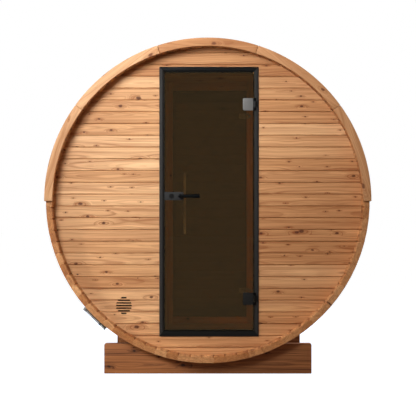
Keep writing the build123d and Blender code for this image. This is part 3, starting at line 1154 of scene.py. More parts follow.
@dataclass
class ArchFascia(Timberwork):
    """The arched trim at one end of the barrel, sawn from five boards."""

    node: str
    front: float
    thickness: float
    outer: float
    inner: float = 1.0762
    joint: float = 0.055
    facets: int = 18
    round_edge: float = 0.003
    # From the left board over the top to the right one: the boards' own tones, with painted light on the left
    # boards and painted shade on the top and right ones.
    tones: Sequence[float] = (0.74, 0.82, 0.12, 0.4, 0.5)

    def build(self) -> None:
        """Build the boards end to end."""
        piece = Piece(f"{self.node}_boards", FASCIA_WOOD, [self.node])
        sweep = HALF_TURN / len(self.tones)
        half = math.radians(sweep / 2 - self.joint)
        for number, tone in enumerate(self.tones):
            ring = [
                (-radius * math.sin(half), radius * math.cos(half), depth)
                for radius, depth in oblong(self.inner, self.outer, -self.thickness, 0)
            ]
            shape = ease(swept(ring, angle=-2 * half, steps=self.facets), self.round_edge, segments=3)
            turn = Matrix.Rotation(math.radians(QUARTER_TURN - sweep * (number + 0.5)), 4, "Z")
            place = facing_front(self.front) @ Matrix.Translation((0, self.axis_z, 0)) @ turn
            piece.add(shape, place, replace(self.yard.board(near=0.05, far=0.12), tone=tone))
        piece.finished()


@dataclass
class Cradles(Timberwork):
    """Three sawn beams with a saddle for the barrel."""

    nodes: Sequence[str]
    saddle: float
    round_top: float = 0.008
    edge: float = 0.0025

    def build(self) -> None:
        """Build the cradles."""
        for node in self.nodes:
            low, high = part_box(node)
            half = math.sqrt(self.saddle**2 - (self.axis_z - high.z) ** 2)
            sweep = 2 * math.degrees(math.asin(half / self.saddle))
            shoulder, level = high.x - self.round_top, high.z - self.round_top
            outline = Outline(-high.x, 0.0).lines((high.x, 0.0), (high.x, level))
            outline.arc((shoulder, level), QUARTER_TURN, 4).lines((half, high.z))
            outline.arc((0.0, self.axis_z), -sweep, 40).lines((-shoulder, high.z))
            outline.arc((-shoulder, level), QUARTER_TURN, 4)
            shape = outline.solid(high.y - low.y, grain_in_plane=True)
            ease(shape, self.edge, sharp_edges(shape, SQUARE), 2)
            timber = self.yard.board(near=0.03, far=0.1, tone=0.42, spread=0.06)
            Piece(f"{node}_beam", CRADLE_WOOD, [node]).add(shape, facing_front(high.y), timber).finished()


@dataclass
class SlatFloor(Timberwork):
    """A floor of slats across a room, on three bearers."""

    node: str
    slat: float = 0.088
    gap: float = 0.008
    thickness: float = 0.024
    bearers: Sequence[float] = (-0.3, 0.0, 0.3)
    bearer_width: float = 0.045
    half_top: float = 0.48
    half_bottom: float = 0.44
    shell: float = 1.082
    slat_edge: float = 0.003
    bearer_edge: float = 0.002

    def build(self) -> None:
        """Build the floor."""
        low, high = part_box(self.node)
        piece = Piece(f"{self.node}_slats", FLOOR_WOOD, [self.node])
        count = math.floor((high.y - low.y + self.gap) / (self.slat + self.gap))
        width = (high.y - low.y + self.gap) / count - self.gap
        under = high.z - self.thickness
        for number in range(count):
            start = low.y + number * (width + self.gap)
            shape = block((-self.half_top, start, under), (self.half_top, start + width, high.z))
            for side in (-1, 1):
                slope = Vector((side * self.thickness, 0, self.half_bottom - self.half_top)).normalized()
                clip(shape, (side * self.half_bottom, 0, under), slope)
            piece.add(ease(shape, self.slat_edge, segments=2), timber=self.yard.board())
        half = self.bearer_width / 2
        for x in self.bearers:
            foot = self.axis_z - math.sqrt(self.shell**2 - (abs(x) + half) ** 2)
            shape = block((low.y, x - half, foot), (high.y, x + half, under - HAIR))
            place = axes((0, 1, 0), (1, 0, 0), (0, 0, 1))
            piece.add(ease(shape, self.bearer_edge), place, self.yard.board())
        piece.finished()


@dataclass
class RoofCovering(Timberwork):
    """Felt over the upper half of the barrel, with courses of tabbed shingles on it."""

    node: str
    inner: float = 1.1262
    outer: float = 1.1335
    felt: float = 0.0012
    courses: int = 12
    tabs: int = 9
    lap: float = 0.022
    sheet: float = 0.0026
    rise: float = 0.0042
    slit: float = 0.007
    caps: int = 14
    cap_gap: float = 0.003
    ridge: tuple[float, float] = (172.5, 187.5)

    def bent(self, span: Corner, angles: Corner, radii: Corner) -> Shape:
        """Make one shingle tab, bent round the barrel and tilted so that its foot stands proud.

        Args:
            span: Where it starts and ends along the barrel.
            angles: Angle of its foot and of its top.
            radii: Radius of its upper face at its foot and at its top.

        Returns:
            The tab, in place round the barrel's axis.
        """
        shape = block((0.0, span[0], -self.sheet), (1.0, span[1], 0.0))
        bmesh.ops.subdivide_edges(shape, edges=edges_along(shape, 0), cuts=3, use_grid_fill=True)
        for corner in shape.verts:
            share = corner.co.x
            angle = math.radians(angles[0] + (angles[1] - angles[0]) * share)
            radius = radii[0] + (radii[1] - radii[0]) * share + corner.co.z
            corner.co = (radius * math.sin(angle), corner.co.y, -radius * math.cos(angle))
        bmesh.ops.recalc_face_normals(shape, faces=shape.faces)
        return shape

    def build(self) -> None:
        """Build the felt, the shingles and the ridge."""
        low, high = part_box(self.node)
        lift = Matrix.Translation((0, 0, self.axis_z))
        corners = oblong(self.inner, self.inner + self.felt, low.y, high.y)
        felt = swept([(*corner, 0) for corner in corners], (0, -1, 0), math.pi, 90)
        Piece("roof_felt", FELT, [self.node]).add(felt, lift).finished()
        shingles = Piece("roof_shingles", FELT)
        step, width = QUARTER_TURN / self.courses, (high.y - low.y) / self.tabs
        over = math.degrees(self.lap / self.outer)
        for side in (-1, 1):
            for course in range(self.courses):
                start = QUARTER_TURN + course * step
                angles = (side * start, side * min(start + step + over, HALF_TURN))
                odd = course % 2
                for tab in range(self.tabs + odd):
                    left = low.y + tab * width - odd * width / 2
                    span = (max(low.y, left + self.slit / 2), min(high.y, left + width - self.slit / 2))
                    board = self.yard.board()
                    radii = (self.outer - self.felt * board.tone, self.inner + self.rise)
                    shingles.add(self.bent(span, angles, radii), lift, board)
        shingles.finished()
        ridge = Piece("roof_ridge", FELT)
        length = (high.y - low.y) / self.caps
        for cap in range(self.caps):
            start = low.y + cap * length
            span = (start, min(high.y, start + length - self.cap_gap))
            ridge.add(self.bent(span, self.ridge, (self.outer, self.outer)), lift)
        ridge.finished()


@dataclass
class Hoops:
    """Steel hoops round the barrel over each wall, each drawn tight by a rod."""

    axis_z: float
    radius: float
    middles: Sequence[float]
    width: float = 0.025
    sheet: float = 0.0008
    angle: float = -44.1
    lower: Corner = (-0.106, -0.050)
    upper: Corner = (0.088, 0.104)
    tail: float = 0.03
    fitting_width: float = 0.030
    height: float = 0.036
    body_height: float = 0.020
    lug: float = 0.007
    rod_height: float = 0.0265
    rod_radius: float = 0.0095
    rod_ends: Corner = (0.003, 0.004)
    thread: float = 0.0025
    thread_root: float = 0.92
    thread_end: float = 0.8
    nut_radius: float = 0.0105
    nut: float = 0.009
    nut_edge: float = 0.0008
    rail_height: float = 0.016
    rail_width: float = 0.022
    tail_height: float = 0.005
    edge: float = 0.0015
    block_edge: float = 0.002
    into: float = 0.001

    def stem(self) -> Shape:
        """Make the threaded rod, upright.

        Returns:
            The rod.
        """
        start, end = self.lower[0] + self.rod_ends[0], self.upper[1] + self.rod_ends[1]
        profile = [(0.0, start)]
        for turn in range(int((end - start) / self.thread)):
            profile.append((self.rod_radius * self.thread_root, start + turn * self.thread))
            profile.append((self.rod_radius, start + (turn + 0.5) * self.thread))
        return turned(profile + [(self.rod_radius * self.thread_end, end), (0.0, end)], 20)

    def build(self) -> None:
        """Build the hoops and the tighteners."""
        bands = Piece("hoop_bands", ZINC, ["hoops"])
        fittings = Piece("tightener_fittings", ZINC, ["tighteners"])
        blocks = Piece("tightener_blocks", DARK_STEEL)
        turn, half, wide = math.radians(self.angle), self.width / 2, self.fitting_width / 2
        outward = Vector((math.sin(turn), 0, -math.cos(turn)))
        along = (-math.cos(turn), 0, -math.sin(turn))
        (start, stop), (near, far) = self.lower, self.upper
        into, edge, foot = self.into, self.edge, self.body_height - 2 * self.into
        shapes = (
            (blocks, start, stop, wide, -into, self.body_height, self.block_edge, 2),
            (blocks, stop - into, near + into, self.rail_width / 2, 0.0, self.rail_height, edge, 1),
            (blocks, start, start + self.lug, wide, foot, self.height, edge, 2),
            (blocks, stop - self.lug, stop, wide, foot, self.height, edge, 2),
            (fittings, near, far, wide, self.sheet, self.height, edge, 2),
            (fittings, near - self.tail, near, wide, self.sheet, self.tail_height, edge, 2),
        )
        for y in self.middles:
            corners = oblong(self.radius, self.radius + self.sheet, y - half, y + half)
            band = swept([(*corner, 0) for corner in corners], (0, 1, 0), steps=168)
            bands.add(band, Matrix.Translation((0, 0, self.axis_z)))
            place = axes(along, (0, 1, 0), outward, Vector((0, y, self.axis_z)) + outward * self.radius)
            for piece, x_from, x_to, side, low, high, bevel, segments in shapes:
                shape = block((x_from, -side, low), (x_to, side, high))
                piece.add(ease(shape, bevel, segments=segments), place)
            fittings.add(self.stem(), place @ lying((0, 0, self.rod_height)))
            for x in (stop, near - self.nut):
                nut = rod(self.nut_radius, (x, 0, self.rod_height), (x + self.nut, 0, self.rod_height), 6)
                fittings.add(ease(nut, self.nut_edge), place)
        for piece in (bands, fittings, blocks):
            piece.finished()


# ---- doors ---------------------------------------------------------------------------------


@dataclass(frozen=True)
class Surround:
    """Widths of the bars of a door frame."""

    jamb: float
    head: float
    sill: float


@dataclass(frozen=True)
class Rebate:
    """The step along the inner edge of a frame's bars."""

    width: float = 0.006
    depth: float = 0.012


class Bar(Enum):
    """One bar of a frame; the direction is inwards."""

    LEFT = (1, 0, 0)
    RIGHT = (-1, 0, 0)
    SILL = (0, 0, 1)
    HEAD = (0, 0, -1)


def flat_ring(low: Vector, high: Vector, width: float, edge: float) -> Shape:
    """Make a rectangular frame in one piece, with eased edges.

    Args:
        low: Lowest corner of the frame.
        high: Highest corner.
        width: Width of its bars.
        edge: Width of the bevel on its edges.

    Returns:
        The frame, in place.
    """
    shape = bmesh.new()
    corners = [shape.verts.new((x, low.y, z)) for x, z in oblong(low.x, high.x, low.z, high.z)]
    face = shape.faces.new(corners)
    shape.normal_update()
    bmesh.ops.inset_region(shape, faces=[face], thickness=width, use_boundary=True, use_even_offset=True)
    bmesh.ops.delete(shape, geom=[face], context="FACES_ONLY")
    return ease(thickened(shape, (0, high.y - low.y, 0)), edge, segments=2)


def mitred_bar(low: Vector, high: Vector, bars: Surround, rebate: Rebate, bar: Bar, edge: float) -> Shape:
    """Make one rebated bar of a frame, mitred at both ends.

    It is drawn with its length along X, Y from the outer edge inwards, and Z out of the face.

    Args:
        low: Lowest corner of the frame.
        high: Highest corner.
        bars: Widths of its bars.
        rebate: The step along its inner edge.
        bar: Which bar.
        edge: Width of the bevel on its long edges.

    Returns:
        The bar, in place.
    """
    upright = bar in (Bar.LEFT, Bar.RIGHT)
    width = {Bar.SILL: bars.sill, Bar.HEAD: bars.head}.get(bar, bars.jamb)
    ends = (bars.sill, bars.head) if upright else (bars.jamb, bars.jamb)
    start, end = (low.z, high.z) if upright else (low.x, high.x)
    depth, face = high.y - low.y, width - rebate.width
    outline = Outline(0.0, 0.0).lines(
        (face, 0.0), (face, -rebate.depth), (width, -rebate.depth), (width, -depth), (0.0, -depth)
    )
    shape = outline.solid(end - start)
    ease(shape, edge, sharp_edges(shape, SQUARE), 2)
    bmesh.ops.translate(shape, vec=(start, 0, 0), verts=shape.verts)
    clip(shape, (start, 0, 0), (-width, ends[0], 0))
    clip(shape, (end, 0, 0), (width, ends[1], 0))
    outer = low if bar in (Bar.LEFT, Bar.SILL) else high
    corner = (outer.x, low.y, 0) if upright else (0, low.y, outer.z)
    place = axes((0, 0, 1) if upright else (1, 0, 0), bar.value, (0, -1, 0), corner)
    bmesh.ops.transform(shape, matrix=place, verts=shape.verts)
    bmesh.ops.recalc_face_normals(shape, faces=shape.faces)
    return shape


def glass_pane(node: str, name: str, body: str) -> None:
    """Build a door's pane of bronze glass.

    Args:
        node: The CAD node that it stands for.
        name: Name of the piece.
        body: The body that it moves with.
    """
    Piece(name, BRONZE_GLASS, [node], body).add(ease(block(*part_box(node)), ARRIS)).finished()


def rounded_plate(low: Point, high: Point, rounded_x: float, edge: float, radius: float = 0.010) -> Shape:
    """Make a flat plate on a pane of glass, with two rounded corners.

    Args:
        low: Its lowest corner.
        high: Its highest corner.
        rounded_x: Its left or right edge, where the corners are rounded.
        edge: Width of the bevel on its edges.
        radius: Radius of the rounded corners.

    Returns:
        The plate, in place.
    """
    shape = block(low, high)
    corners = [e for e in edges_along(shape, 1) if abs(e.verts[0].co.x - rounded_x) < SAME]
    ease(shape, radius, corners, 8)
    return ease(shape, edge, sharp_edges(shape, SQUARE), 3)


@dataclass
class GlassHinge:
    """A glass clamp with a fixed knuckle between its two ears."""

    pin_x: float
    pin_y: float
    knuckle: float
    tall: float
    knuckle_tall: float
    plate: float
    left: float
    right: float
    back_right: float
    pane: tuple[Vector, Vector]
    ear: float
    frame_front: float
    base_width: float = 0.023
    base: float = 0.004
    plate_edge: float = 0.0016
    arm_edge: float = 0.001
    screws: Corner = (0.016, 0.044)
    screw_rise: float = 0.27
    screw_radius: float = 0.0045
    screw_edge: float = 0.0004
    overlap: float = 0.002
    play: float = 0.0004
    gap: float = 0.0005
    dome: Corner = (0.25, 0.075)

    def add_leaf(self, plates: Piece, ears: Piece, z: float) -> None:
        """Add the clamp at one height: its plates, and its ears with their barrels.

        Args:
            plates: The piece that takes the plates.
            ears: The piece that takes the ears.
            z: Height of the hinge's middle.
        """
        low, high = z - self.tall / 2, z + self.tall / 2
        front, rear = (corner.y for corner in self.pane)
        back = rear + self.plate
        for right, start, end in ((self.right, front - self.plate, front), (self.back_right, rear, back)):
            near = (self.left, start, low)
            plates.add(rounded_plate(near, (right, end, high), self.left, self.plate_edge))
        for x in self.screws:
            for rise in (-self.screw_rise, self.screw_rise):
                foot = Vector((self.left + x, back, z + rise * self.tall))
                head = rod(self.screw_radius, foot, foot + Vector((0, ARRIS, 0)), 24)
                plates.add(ease(head, self.screw_edge))
        half, radius, thin = self.knuckle_tall / 2, self.knuckle, self.knuckle - ARRIS
        for start, end in ((low, z - half), (z + half, high)):
            barrel = turned([
                (0.0, start), (thin, start), (radius, start + ARRIS), (radius, end - ARRIS),
                (thin, end), (0.0, end),
            ])
            ears.add(barrel, Matrix.Translation((self.pin_x, self.pin_y, 0)))
            arm = block(
                (self.right - self.overlap, self.pin_y - self.ear / 2, start + self.play),
                (self.pin_x, self.pin_y + self.ear / 2, end - self.play),
            )
            ears.add(ease(arm, self.arm_edge))

    def add_knuckle(self, piece: Piece, feet: Piece, z: float) -> None:
        """Add the fixed knuckle at one height.

        Args:
            piece: The piece that takes the knuckle.
            feet: The piece that takes its base.
            z: Height of the hinge's middle.
        """
        half, radius = self.knuckle_tall / 2 - self.gap, self.knuckle
        soft, little = (radius * share for share in self.dome)
        low, high = z - half, z + half
        barrel = turned([
            (0.0, low), (radius - soft, low), (radius - little, low + little), (radius, low + soft),
            (radius, high - soft), (radius - little, high - little), (radius - soft, high), (0.0, high),
        ])
        piece.add(barrel, Matrix.Translation((self.pin_x, self.pin_y, 0)))
        front = self.frame_front
        foot = block((self.pin_x, front - self.base, low), (self.pin_x + self.base_width, front, high))
        feet.add(ease(foot, ARRIS, segments=2))


@dataclass
class EntranceDoor:
    """The glass entrance door in its black frame, with hinges, lock case and lever."""

    axis_z: float
    bars: Surround = Surround(0.030, 0.032, 0.040)
    rebate: Rebate = Rebate()
    bar_edge: float = 0.0014
    seal: float = 0.012
    seal_edge: float = 0.003
    hinge_off_axis: float = 0.6845
    plate_edge: float = 0.002
    rear_plate_inset: float = 0.016
    cylinder_x: float = -0.255
    rose_radius: float = 0.0175
    rose_rise: float = 0.0018
    rose_edge: float = 0.0008
    barrel_half: Corner = (0.005, 0.010)
    barrel_rise: float = 0.001
    barrel_edge: float = 0.0006
    lever_x: float = -0.194
    lever_z: float = 1.248
    lever_inset: float = 0.014
    lever_reach: float = 0.138
    lever_radius: float = 0.0128
    root: float = 0.0138
    neck: float = 0.009
    collar: float = 0.0125
    collar_depths: Corner = (0.006, 0.0045)
    collar_gap: float = 0.0005
    spindle: float = 0.0045

    def frame_and_seal(self) -> None:
        """Build the black frame and the rubber seal inside it."""
        low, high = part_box("door_frame")
        parts = (
            # The jambs take the lighter copy of the black coat, a painted sheen; the head and sill take the
            # coat itself.
            ("door_jambs", JAMB_COAT_PAINTED_SHEEN, (Bar.LEFT, Bar.RIGHT)),
            ("door_head_and_sill", BLACK_COAT, (Bar.SILL, Bar.HEAD)),
        )
        for name, finish, bars in parts:
            piece = Piece(name, finish, ["door_frame"])
            for bar in bars:
                piece.add(mitred_bar(low, high, self.bars, self.rebate, bar, self.bar_edge))
            piece.finished()
        low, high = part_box("door_seal")
        ring = flat_ring(low, high, self.seal, self.seal_edge)
        Piece("door_gasket", RUBBER, ["door_seal"]).add(ring).finished()

    def hinges(self) -> None:
        """Build both hinges; the upper one is satin grey and the lower one black."""
        hinge = GlassHinge(
            pin_x=0.3295, pin_y=-1.390, knuckle=0.008, tall=0.087, knuckle_tall=0.044, plate=0.008, ear=0.010,
            left=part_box("door_hinge_leaves")[0].x, right=0.3195, back_right=0.308,
            pane=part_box("door_glass"), frame_front=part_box("door_frame")[0].y,
        )
        ears = Piece("door_hinge_ears", EAR_BLACK, ["door_hinge_leaves"], "door")
        lower = Piece("door_knuckle_lower", BLACK_COAT, ["door_hinge_knuckles"])
        upper = Piece("door_knuckle_upper", PLATE_COAT, ["door_hinge_knuckles"])
        sides = (("lower", -1, CLAMP_COAT, lower), ("upper", 1, SATIN_GREY, upper))
        for label, side, finish, knuckle in sides:
            z = self.axis_z + side * self.hinge_off_axis
            clamp = Piece(f"door_clamp_{label}", finish, ["door_hinge_leaves"], "door")
            hinge.add_leaf(clamp, ears, z)
            hinge.add_knuckle(knuckle, lower, z)
            clamp.finished()
        for piece in (ears, lower, upper):
            piece.finished()

    def lock(self) -> None:
        """Build the lock case on both faces of the glass, with its roses and keyhole barrels."""
        low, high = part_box("lock_case")
        glass_low, glass_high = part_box("door_glass")
        case = Piece("lock_plates", PLATE_COAT, ["lock_case"], "door")
        case.add(rounded_plate(low, (high.x, glass_low.y, high.z), high.x, self.plate_edge))
        inset = (low.x + self.rear_plate_inset, glass_high.y, low.z)
        case.add(rounded_plate(inset, high, high.x, self.plate_edge)).finished()
        cylinder = Piece("lock_cylinder", BLACK_COAT, body="door")
        x, z, (wide, tall), proud = self.cylinder_x, self.lever_z, self.barrel_half, self.rose_rise
        sunk, more = self.plate_edge, self.barrel_rise
        for front, rear in ((low.y - proud, low.y + sunk), (high.y - sunk, high.y + proud)):
            rose = rod(self.rose_radius, (x, front, z), (x, rear, z), 48)
            cylinder.add(ease(rose, self.rose_edge, sharp_edges(rose, SQUARE)))
            barrel = block((x - wide, front - more, z - tall), (x + wide, rear + more, z + tall))
            ease(barrel, wide * NEARLY, edges_along(barrel, 1), 8)
            cylinder.add(ease(barrel, self.barrel_edge, sharp_edges(barrel, SQUARE)))
        cylinder.finished()

    def lever(self) -> None:
        """Build the lever on both faces of the leaf, in one piece with its spindle."""
        low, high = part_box("lever_handle")
        case_low, case_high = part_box("lock_case")
        piece = Piece("lever_pair", LEVER_BLACK, ["lever_handle"], "lever")
        x, z, root, end, radius = self.lever_x, self.lever_z, self.root, self.lever_reach, self.lever_radius
        grips = (low.y + self.lever_inset, high.y - self.lever_inset)
        for grip_y, case_y, way in ((grips[0], case_low.y, 1), (grips[1], case_high.y, -1)):
            reach = abs(case_y - grip_y) - self.collar_gap
            neck, collar = (reach - depth for depth in self.collar_depths)
            ball = turned([
                (0.0, -root), (root * 0.5, -root * 0.94), (root * 0.84, -root * 0.72), (root, -root * 0.3),
                (root, root * 0.3), (root * 0.84, root * 0.74), (self.neck, root), (self.neck, neck),
                (self.collar, collar), (self.collar, reach), (0.0, reach),
            ], 48)
            piece.add(ball, axes((1, 0, 0), (0, 0, -way), (0, way, 0), (x, grip_y, z)))
            grip = turned([
                (0.0, 0.0), (radius * 0.9, 0.002), (radius * 0.88, 0.020), (radius * 0.94, end * 0.45),
                (radius, end * 0.8), (radius * 0.98, end - radius * 0.8),
                (radius * 0.78, end - radius * 0.25), (radius * 0.4, end - radius * 0.04), (0.0, end),
            ])
            piece.add(grip, lying((x, grip_y, z)))
        piece.add(rod(self.spindle, (x, grips[0], z), (x, grips[1], z), 4)).finished()

    def build(self) -> None:
        """Build the whole door."""
        self.frame_and_seal()
        glass_pane("door_glass", "door_pane", "door")
        self.hinges()
        self.lock()
        self.lever()


@dataclass
class PartitionDoor(Timberwork):
    """The glass door between the rooms, in a wooden frame, with a wooden pull handle."""

    bars: Surround = Surround(0.058, 0.062, 0.050)
    bar_edge: float = 0.003
    stop: Surround = Surround(0.012, 0.012, 0.012)
    stop_edge: float = 0.002
    hinge_off_axis: float = 0.698
    pull_x: float = -0.190
    pull_posts: float = 0.340
    pull_depth: float = 0.020
    pull_round: float = 0.006
    pull_edge: float = 0.002
    post_radius: float = 0.007
    post_overlap: float = 0.002

    def butted(self, name: str, node: str, bars: Surround, edge: float) -> None:
        """Build a wooden surround of four bars, with the head and sill between the uprights.

        Args:
            name: Name of the piece.
            node: The CAD node that it stands for.
            bars: Widths of its bars.
            edge: Width of the bevel on its edges.
        """
        low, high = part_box(node)
        piece = Piece(name, JOINERY_WOOD, [node])
        depth = high.y - low.y
        # The left upright is painted lighter and the right one darker: painted light and shade, as light
        # falls from the left.
        for left, tone in ((low.x, 1.0), (high.x - bars.jamb, 0.0)):
            shape = block((low.z, -(left + bars.jamb), -depth), (high.z, -left, 0.0))
            timber = replace(self.yard.board(), tone=tone)
            piece.add(ease(shape, edge, segments=2), upright_front(low.y), timber)
        between = bars.jamb + HAIR / 2
        for bottom, top in ((low.z, low.z + bars.sill), (high.z - bars.head, high.z)):
            shape = block((low.x + between, bottom, -depth), (high.x - between, top, 0.0))
            piece.add(ease(shape, edge, segments=2), facing_front(low.y), self.yard.board())
        piece.finished()

    def build(self) -> None:
        """Build the whole door."""
        self.butted("partition_surround", "partition_door_frame", self.bars, self.bar_edge)
        self.butted("partition_stop", "partition_door_stop", self.stop, self.stop_edge)
        glass_pane("partition_door_glass", "partition_pane", "inner_door")
        hinge = GlassHinge(
            pin_x=0.317, pin_y=-0.238, knuckle=0.006, tall=0.042, knuckle_tall=0.020, plate=0.007, ear=0.008,
            left=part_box("partition_door_hinge_leaves")[0].x, right=0.302, back_right=0.288,
            pane=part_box("partition_door_glass"), frame_front=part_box("partition_door_frame")[0].y,
        )
        clamps = Piece("partition_clamps", HINGE_STEEL, ["partition_door_hinge_leaves"], "inner_door")
        fixed = Piece("partition_knuckles", HINGE_STEEL, ["partition_door_hinge_knuckles"])
        for side in (-1, 1):
            z = self.axis_z + side * self.hinge_off_axis
            hinge.add_leaf(clamps, clamps, z)
            hinge.add_knuckle(fixed, fixed, z)
        clamps.finished()
        fixed.finished()
        self.pull()

    def pull(self) -> None:
        """Build the pull handle: a rounded bar on each face of the glass, on two posts."""
        low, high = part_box("pull_handle")
        glass_low, glass_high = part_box("partition_door_glass")
        piece = Piece("pull_bars", PULL_WOOD, ["pull_handle"], "inner_door")
        for front in (low.y, high.y - self.pull_depth):
            bar = block((low.z, -high.x, -self.pull_depth), (high.z, -low.x, 0.0))
            ease(bar, self.pull_round, edges_along(bar, 0), 5)
            ease(bar, self.pull_edge, sharp_edges(bar, SQUARE), 2)
            piece.add(bar, upright_front(front), self.yard.board())
        into = self.pull_depth - self.post_overlap
        for side in (-1, 1):
            z = self.axis_z + side * self.pull_posts / 2
            for start, end in ((low.y + into, glass_low.y), (glass_high.y, high.y - into)):
                post = rod(self.post_radius, (self.pull_x, start, z), (self.pull_x, end, z))
                piece.add(post, timber=self.yard.board())
        piece.finished()


# ---- studio --------------------------------------------------------------------------------


@dataclass(frozen=True)
class Lamp:
    """A round soft lamp."""

    name: str
    watts: float
    size: float
    place: Point
    aim: Point
    spread: float
    colour: Colour = (0.98, 1.0, 1.03)

    def hang(self) -> None:
        """Hang the lamp and point it."""
        data = bpy.data.lights.new(self.name, "AREA")
        data.shape, data.size, data.energy = "DISK", self.size, self.watts
        data.spread, data.color = math.radians(self.spread), self.colour
        lamp = add_object(self.name, data)
        lamp.location = self.place
        lamp.rotation_euler = (Vector(self.aim) - Vector(self.place)).to_track_quat("-Z", "Y").to_euler()


@dataclass
class Studio:
    """A white room with soft lamps to the left and overhead, and the front camera."""

    floor_size: float = 60.0
    floor_glow: float = 0.96
    floor_dark: Colour = (0.16, 0.095, 0.055)
    floor_light: Colour = (0.28, 0.42, 0.66)
    fill: float = 0.15
    fill_colour: Colour = (1.0, 0.64, 0.39)
    white: Colour = (1.0, 1.0, 1.0)
    lens: float = 103.5
    sensor: float = 36.0
    shift: Corner = (-0.01442308, 0.02163462)
    eye: Point = (0.043, -9.805, 1.101)
    far: float = 200.0
    lamps: Sequence[Lamp] = (
        Lamp("key_lamp", 50.0, 1.6, (-1.65, -5.5, 2.75), (-0.4, -1.4, 2.5), 80.0, (0.96, 1.0, 1.05)),
        Lamp("top_lamp", 27.0, 2.0, (-1.5, -2.9, 5.2), (-0.3, -1.5, 0.4), 110.0),
        Lamp("low_lamp", 9.6, 1.0, (-4.3, -3.5, 2.4), (-1.0, -1.4, -0.2), 38.0, (1.0, 0.98, 0.95)),
        Lamp("side_lamp", 90.0, 2.0, (5.0, 2.6, 3.4), (0.9, 0.2, 1.2), 90.0),
        Lamp("back_lamp", 80.0, 2.0, (-2.2, 6.2, 3.2), (0.0, 1.4, 1.2), 90.0),
    )

    def seen(self, n: Nodes) -> Socket:
        """Tell what is seen directly, in a mirror or through glass.

        Args:
            n: The nodes of the tree that asks.

        Returns:
            1 where it is seen, else 0.
        """
        path = n.add("ShaderNodeLightPath").outputs
        total = n.plus(path["Is Camera Ray"], path["Is Glossy Ray"])
        return n.math("ADD", total, path["Is Transmission Ray"], clamp=True)

    def floor(self) -> None:
        """Lay the floor, which shows white and keeps the shadow."""
        shape = bmesh.new()
        bmesh.ops.create_grid(shape, x_segments=8, y_segments=8, size=self.floor_size)
        ground = mesh_object("studio_floor", shape)
        material = bpy.data.materials.new("Studio floor")
        material.use_nodes = True
        material.node_tree.nodes.clear()
        n = Nodes(material.node_tree)
        seen = self.seen(n)
        matt = n.add("ShaderNodeBsdfDiffuse", {"Color": n.mix(seen, self.floor_dark, self.floor_light)})
        glow = n.add("ShaderNodeEmission", {"Strength": n.times(seen, self.floor_glow)})
        both = n.add("ShaderNodeAddShader", {0: matt.outputs[0], 1: glow.outputs[0]})
        n.add("ShaderNodeOutputMaterial", {"Surface": both.outputs[0]})
        ground.data.materials.append(material)

    def sky(self) -> None:
        """Light the room evenly, and show white where it is seen."""
        world = bpy.data.worlds.new("Studio")
        world.use_nodes = True
        bpy.context.scene.world = world
        n = Nodes(world.node_tree)
        seen = self.seen(n)
        colour, strength = n.mix(seen, self.fill_colour, self.white), n.ease(seen, 0.0, 1.0, self.fill, 1.0)
        n.feed(n.find("BACKGROUND"), {"Color": colour, "Strength": strength})

    def camera(self) -> None:
        """Set the camera in front, level, at eye height for someone sitting."""
        data = bpy.data.cameras.new("front_camera")
        data.lens, data.sensor_width, data.clip_end = self.lens, self.sensor, self.far
        data.shift_x, data.shift_y = self.shift
        camera = add_object("front_camera", data)
        camera.location, camera.rotation_euler = self.eye, (math.pi / 2, 0, 0)
        bpy.context.scene.camera = camera

    def build(self) -> None:
        """Set up the whole studio."""
        self.floor()
        self.sky()
        for lamp in self.lamps:
            lamp.hang()
        self.camera()
        bpy.context.scene.view_settings.view_transform = "Standard"


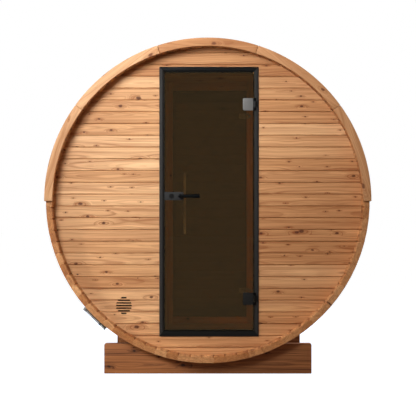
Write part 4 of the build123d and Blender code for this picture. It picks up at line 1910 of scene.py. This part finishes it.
@dataclass
class BarrelSauna:
    """The whole sauna, from its CAD nodes' boxes."""

    play: float = 0.0005
    staves: float = 0.042
    saddle_gap: float = 0.001
    yard_seed: int = 11
    front_seed: int = 5

    def wall(
        self, yard: Timberyard, axis_z: float, name: str, nodes: Sequence[str], door: str = "", **more: object
    ) -> BoardedWall:
        """Lay out one boarded wall.

        Args:
            yard: Where its boards come from.
            axis_z: Height of the barrel's axis.
            name: Name of the piece.
            nodes: The CAD nodes that it stands for; the first gives its faces.
            door: The door frame that stands in it, if any.
            more: Its other settings.

        Returns:
            The wall.
        """
        (_, front, _), (_, rear, _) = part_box(nodes[0])
        if door:
            (left, _, bottom), (right, _, top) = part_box(door)
            play = self.play
            more["opening"] = Stretch(left - play, right + play, bottom - play, top + play)
        return BoardedWall(yard, axis_z, name, nodes, front, rear, **more)

    def build(self) -> None:
        """Build every sub-assembly in order."""
        shell_low, shell_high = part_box("stave_set_04")
        outer = shell_high.x
        axis_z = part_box("stave_set_01")[0].z + outer
        yard = Timberyard(self.yard_seed)
        StaveShell(yard, axis_z, outer, self.staves, shell_low.y, shell_high.y).build()
        panels = ("left", "right", "above_door", "below_door")
        low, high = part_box("air_vent")
        vent = Vent((low.x + high.x) / 2, (low.z + high.z) / 2)
        nodes = [f"front_wall_{panel}" for panel in panels] + ["air_vent"]
        # The front wall's boards are painted lighter left of the door, darker right of it and darker above
        # the axis: painted light and shade.
        front_yard, tones = Timberyard(self.front_seed), {"tones": (0.64, 0.36), "whole_tones": (0.57, 0.15)}
        self.wall(front_yard, axis_z, "front_wall_boards", nodes, "door_frame", vent=vent, **tones).build()
        nodes = [f"partition_{panel}" for panel in panels]
        tones = {"tones": (0.25, 0.25), "whole_tones": (0.25, 0.25)}
        self.wall(yard, axis_z, "partition_boards", nodes, "partition_door_frame", **tones).build()
        self.wall(yard, axis_z, "rear_wall_boards", ["rear_wall"]).build()
        for node in ("front_fascia", "rear_fascia"):
            low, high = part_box(node)
            ArchFascia(yard, axis_z, node, low.y, high.y - low.y, high.z - axis_z - HAIR).build()
        nodes = ("cradle_front", "cradle_middle", "cradle_rear")
        Cradles(Timberyard(self.front_seed), axis_z, nodes, outer + self.saddle_gap).build()
        for node in ("floor_changing_room", "floor_hot_room"):
            SlatFloor(yard, axis_z, node).build()
        RoofCovering(yard, axis_z, "roof_covering").build()
        boxes = [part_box(node) for node in ("front_wall_left", "partition_left", "rear_wall")]
        Hoops(axis_z, outer, [(low.y + high.y) / 2 for low, high in boxes]).build()
        EntranceDoor(axis_z).build()
        PartitionDoor(yard, axis_z).build()


def main() -> None:
    """Build the sauna and its studio."""
    logging.basicConfig(level=logging.INFO, format="%(name)s: %(message)s")
    BarrelSauna().build()
    Studio().build()


if __name__ == "__main__":
    main()
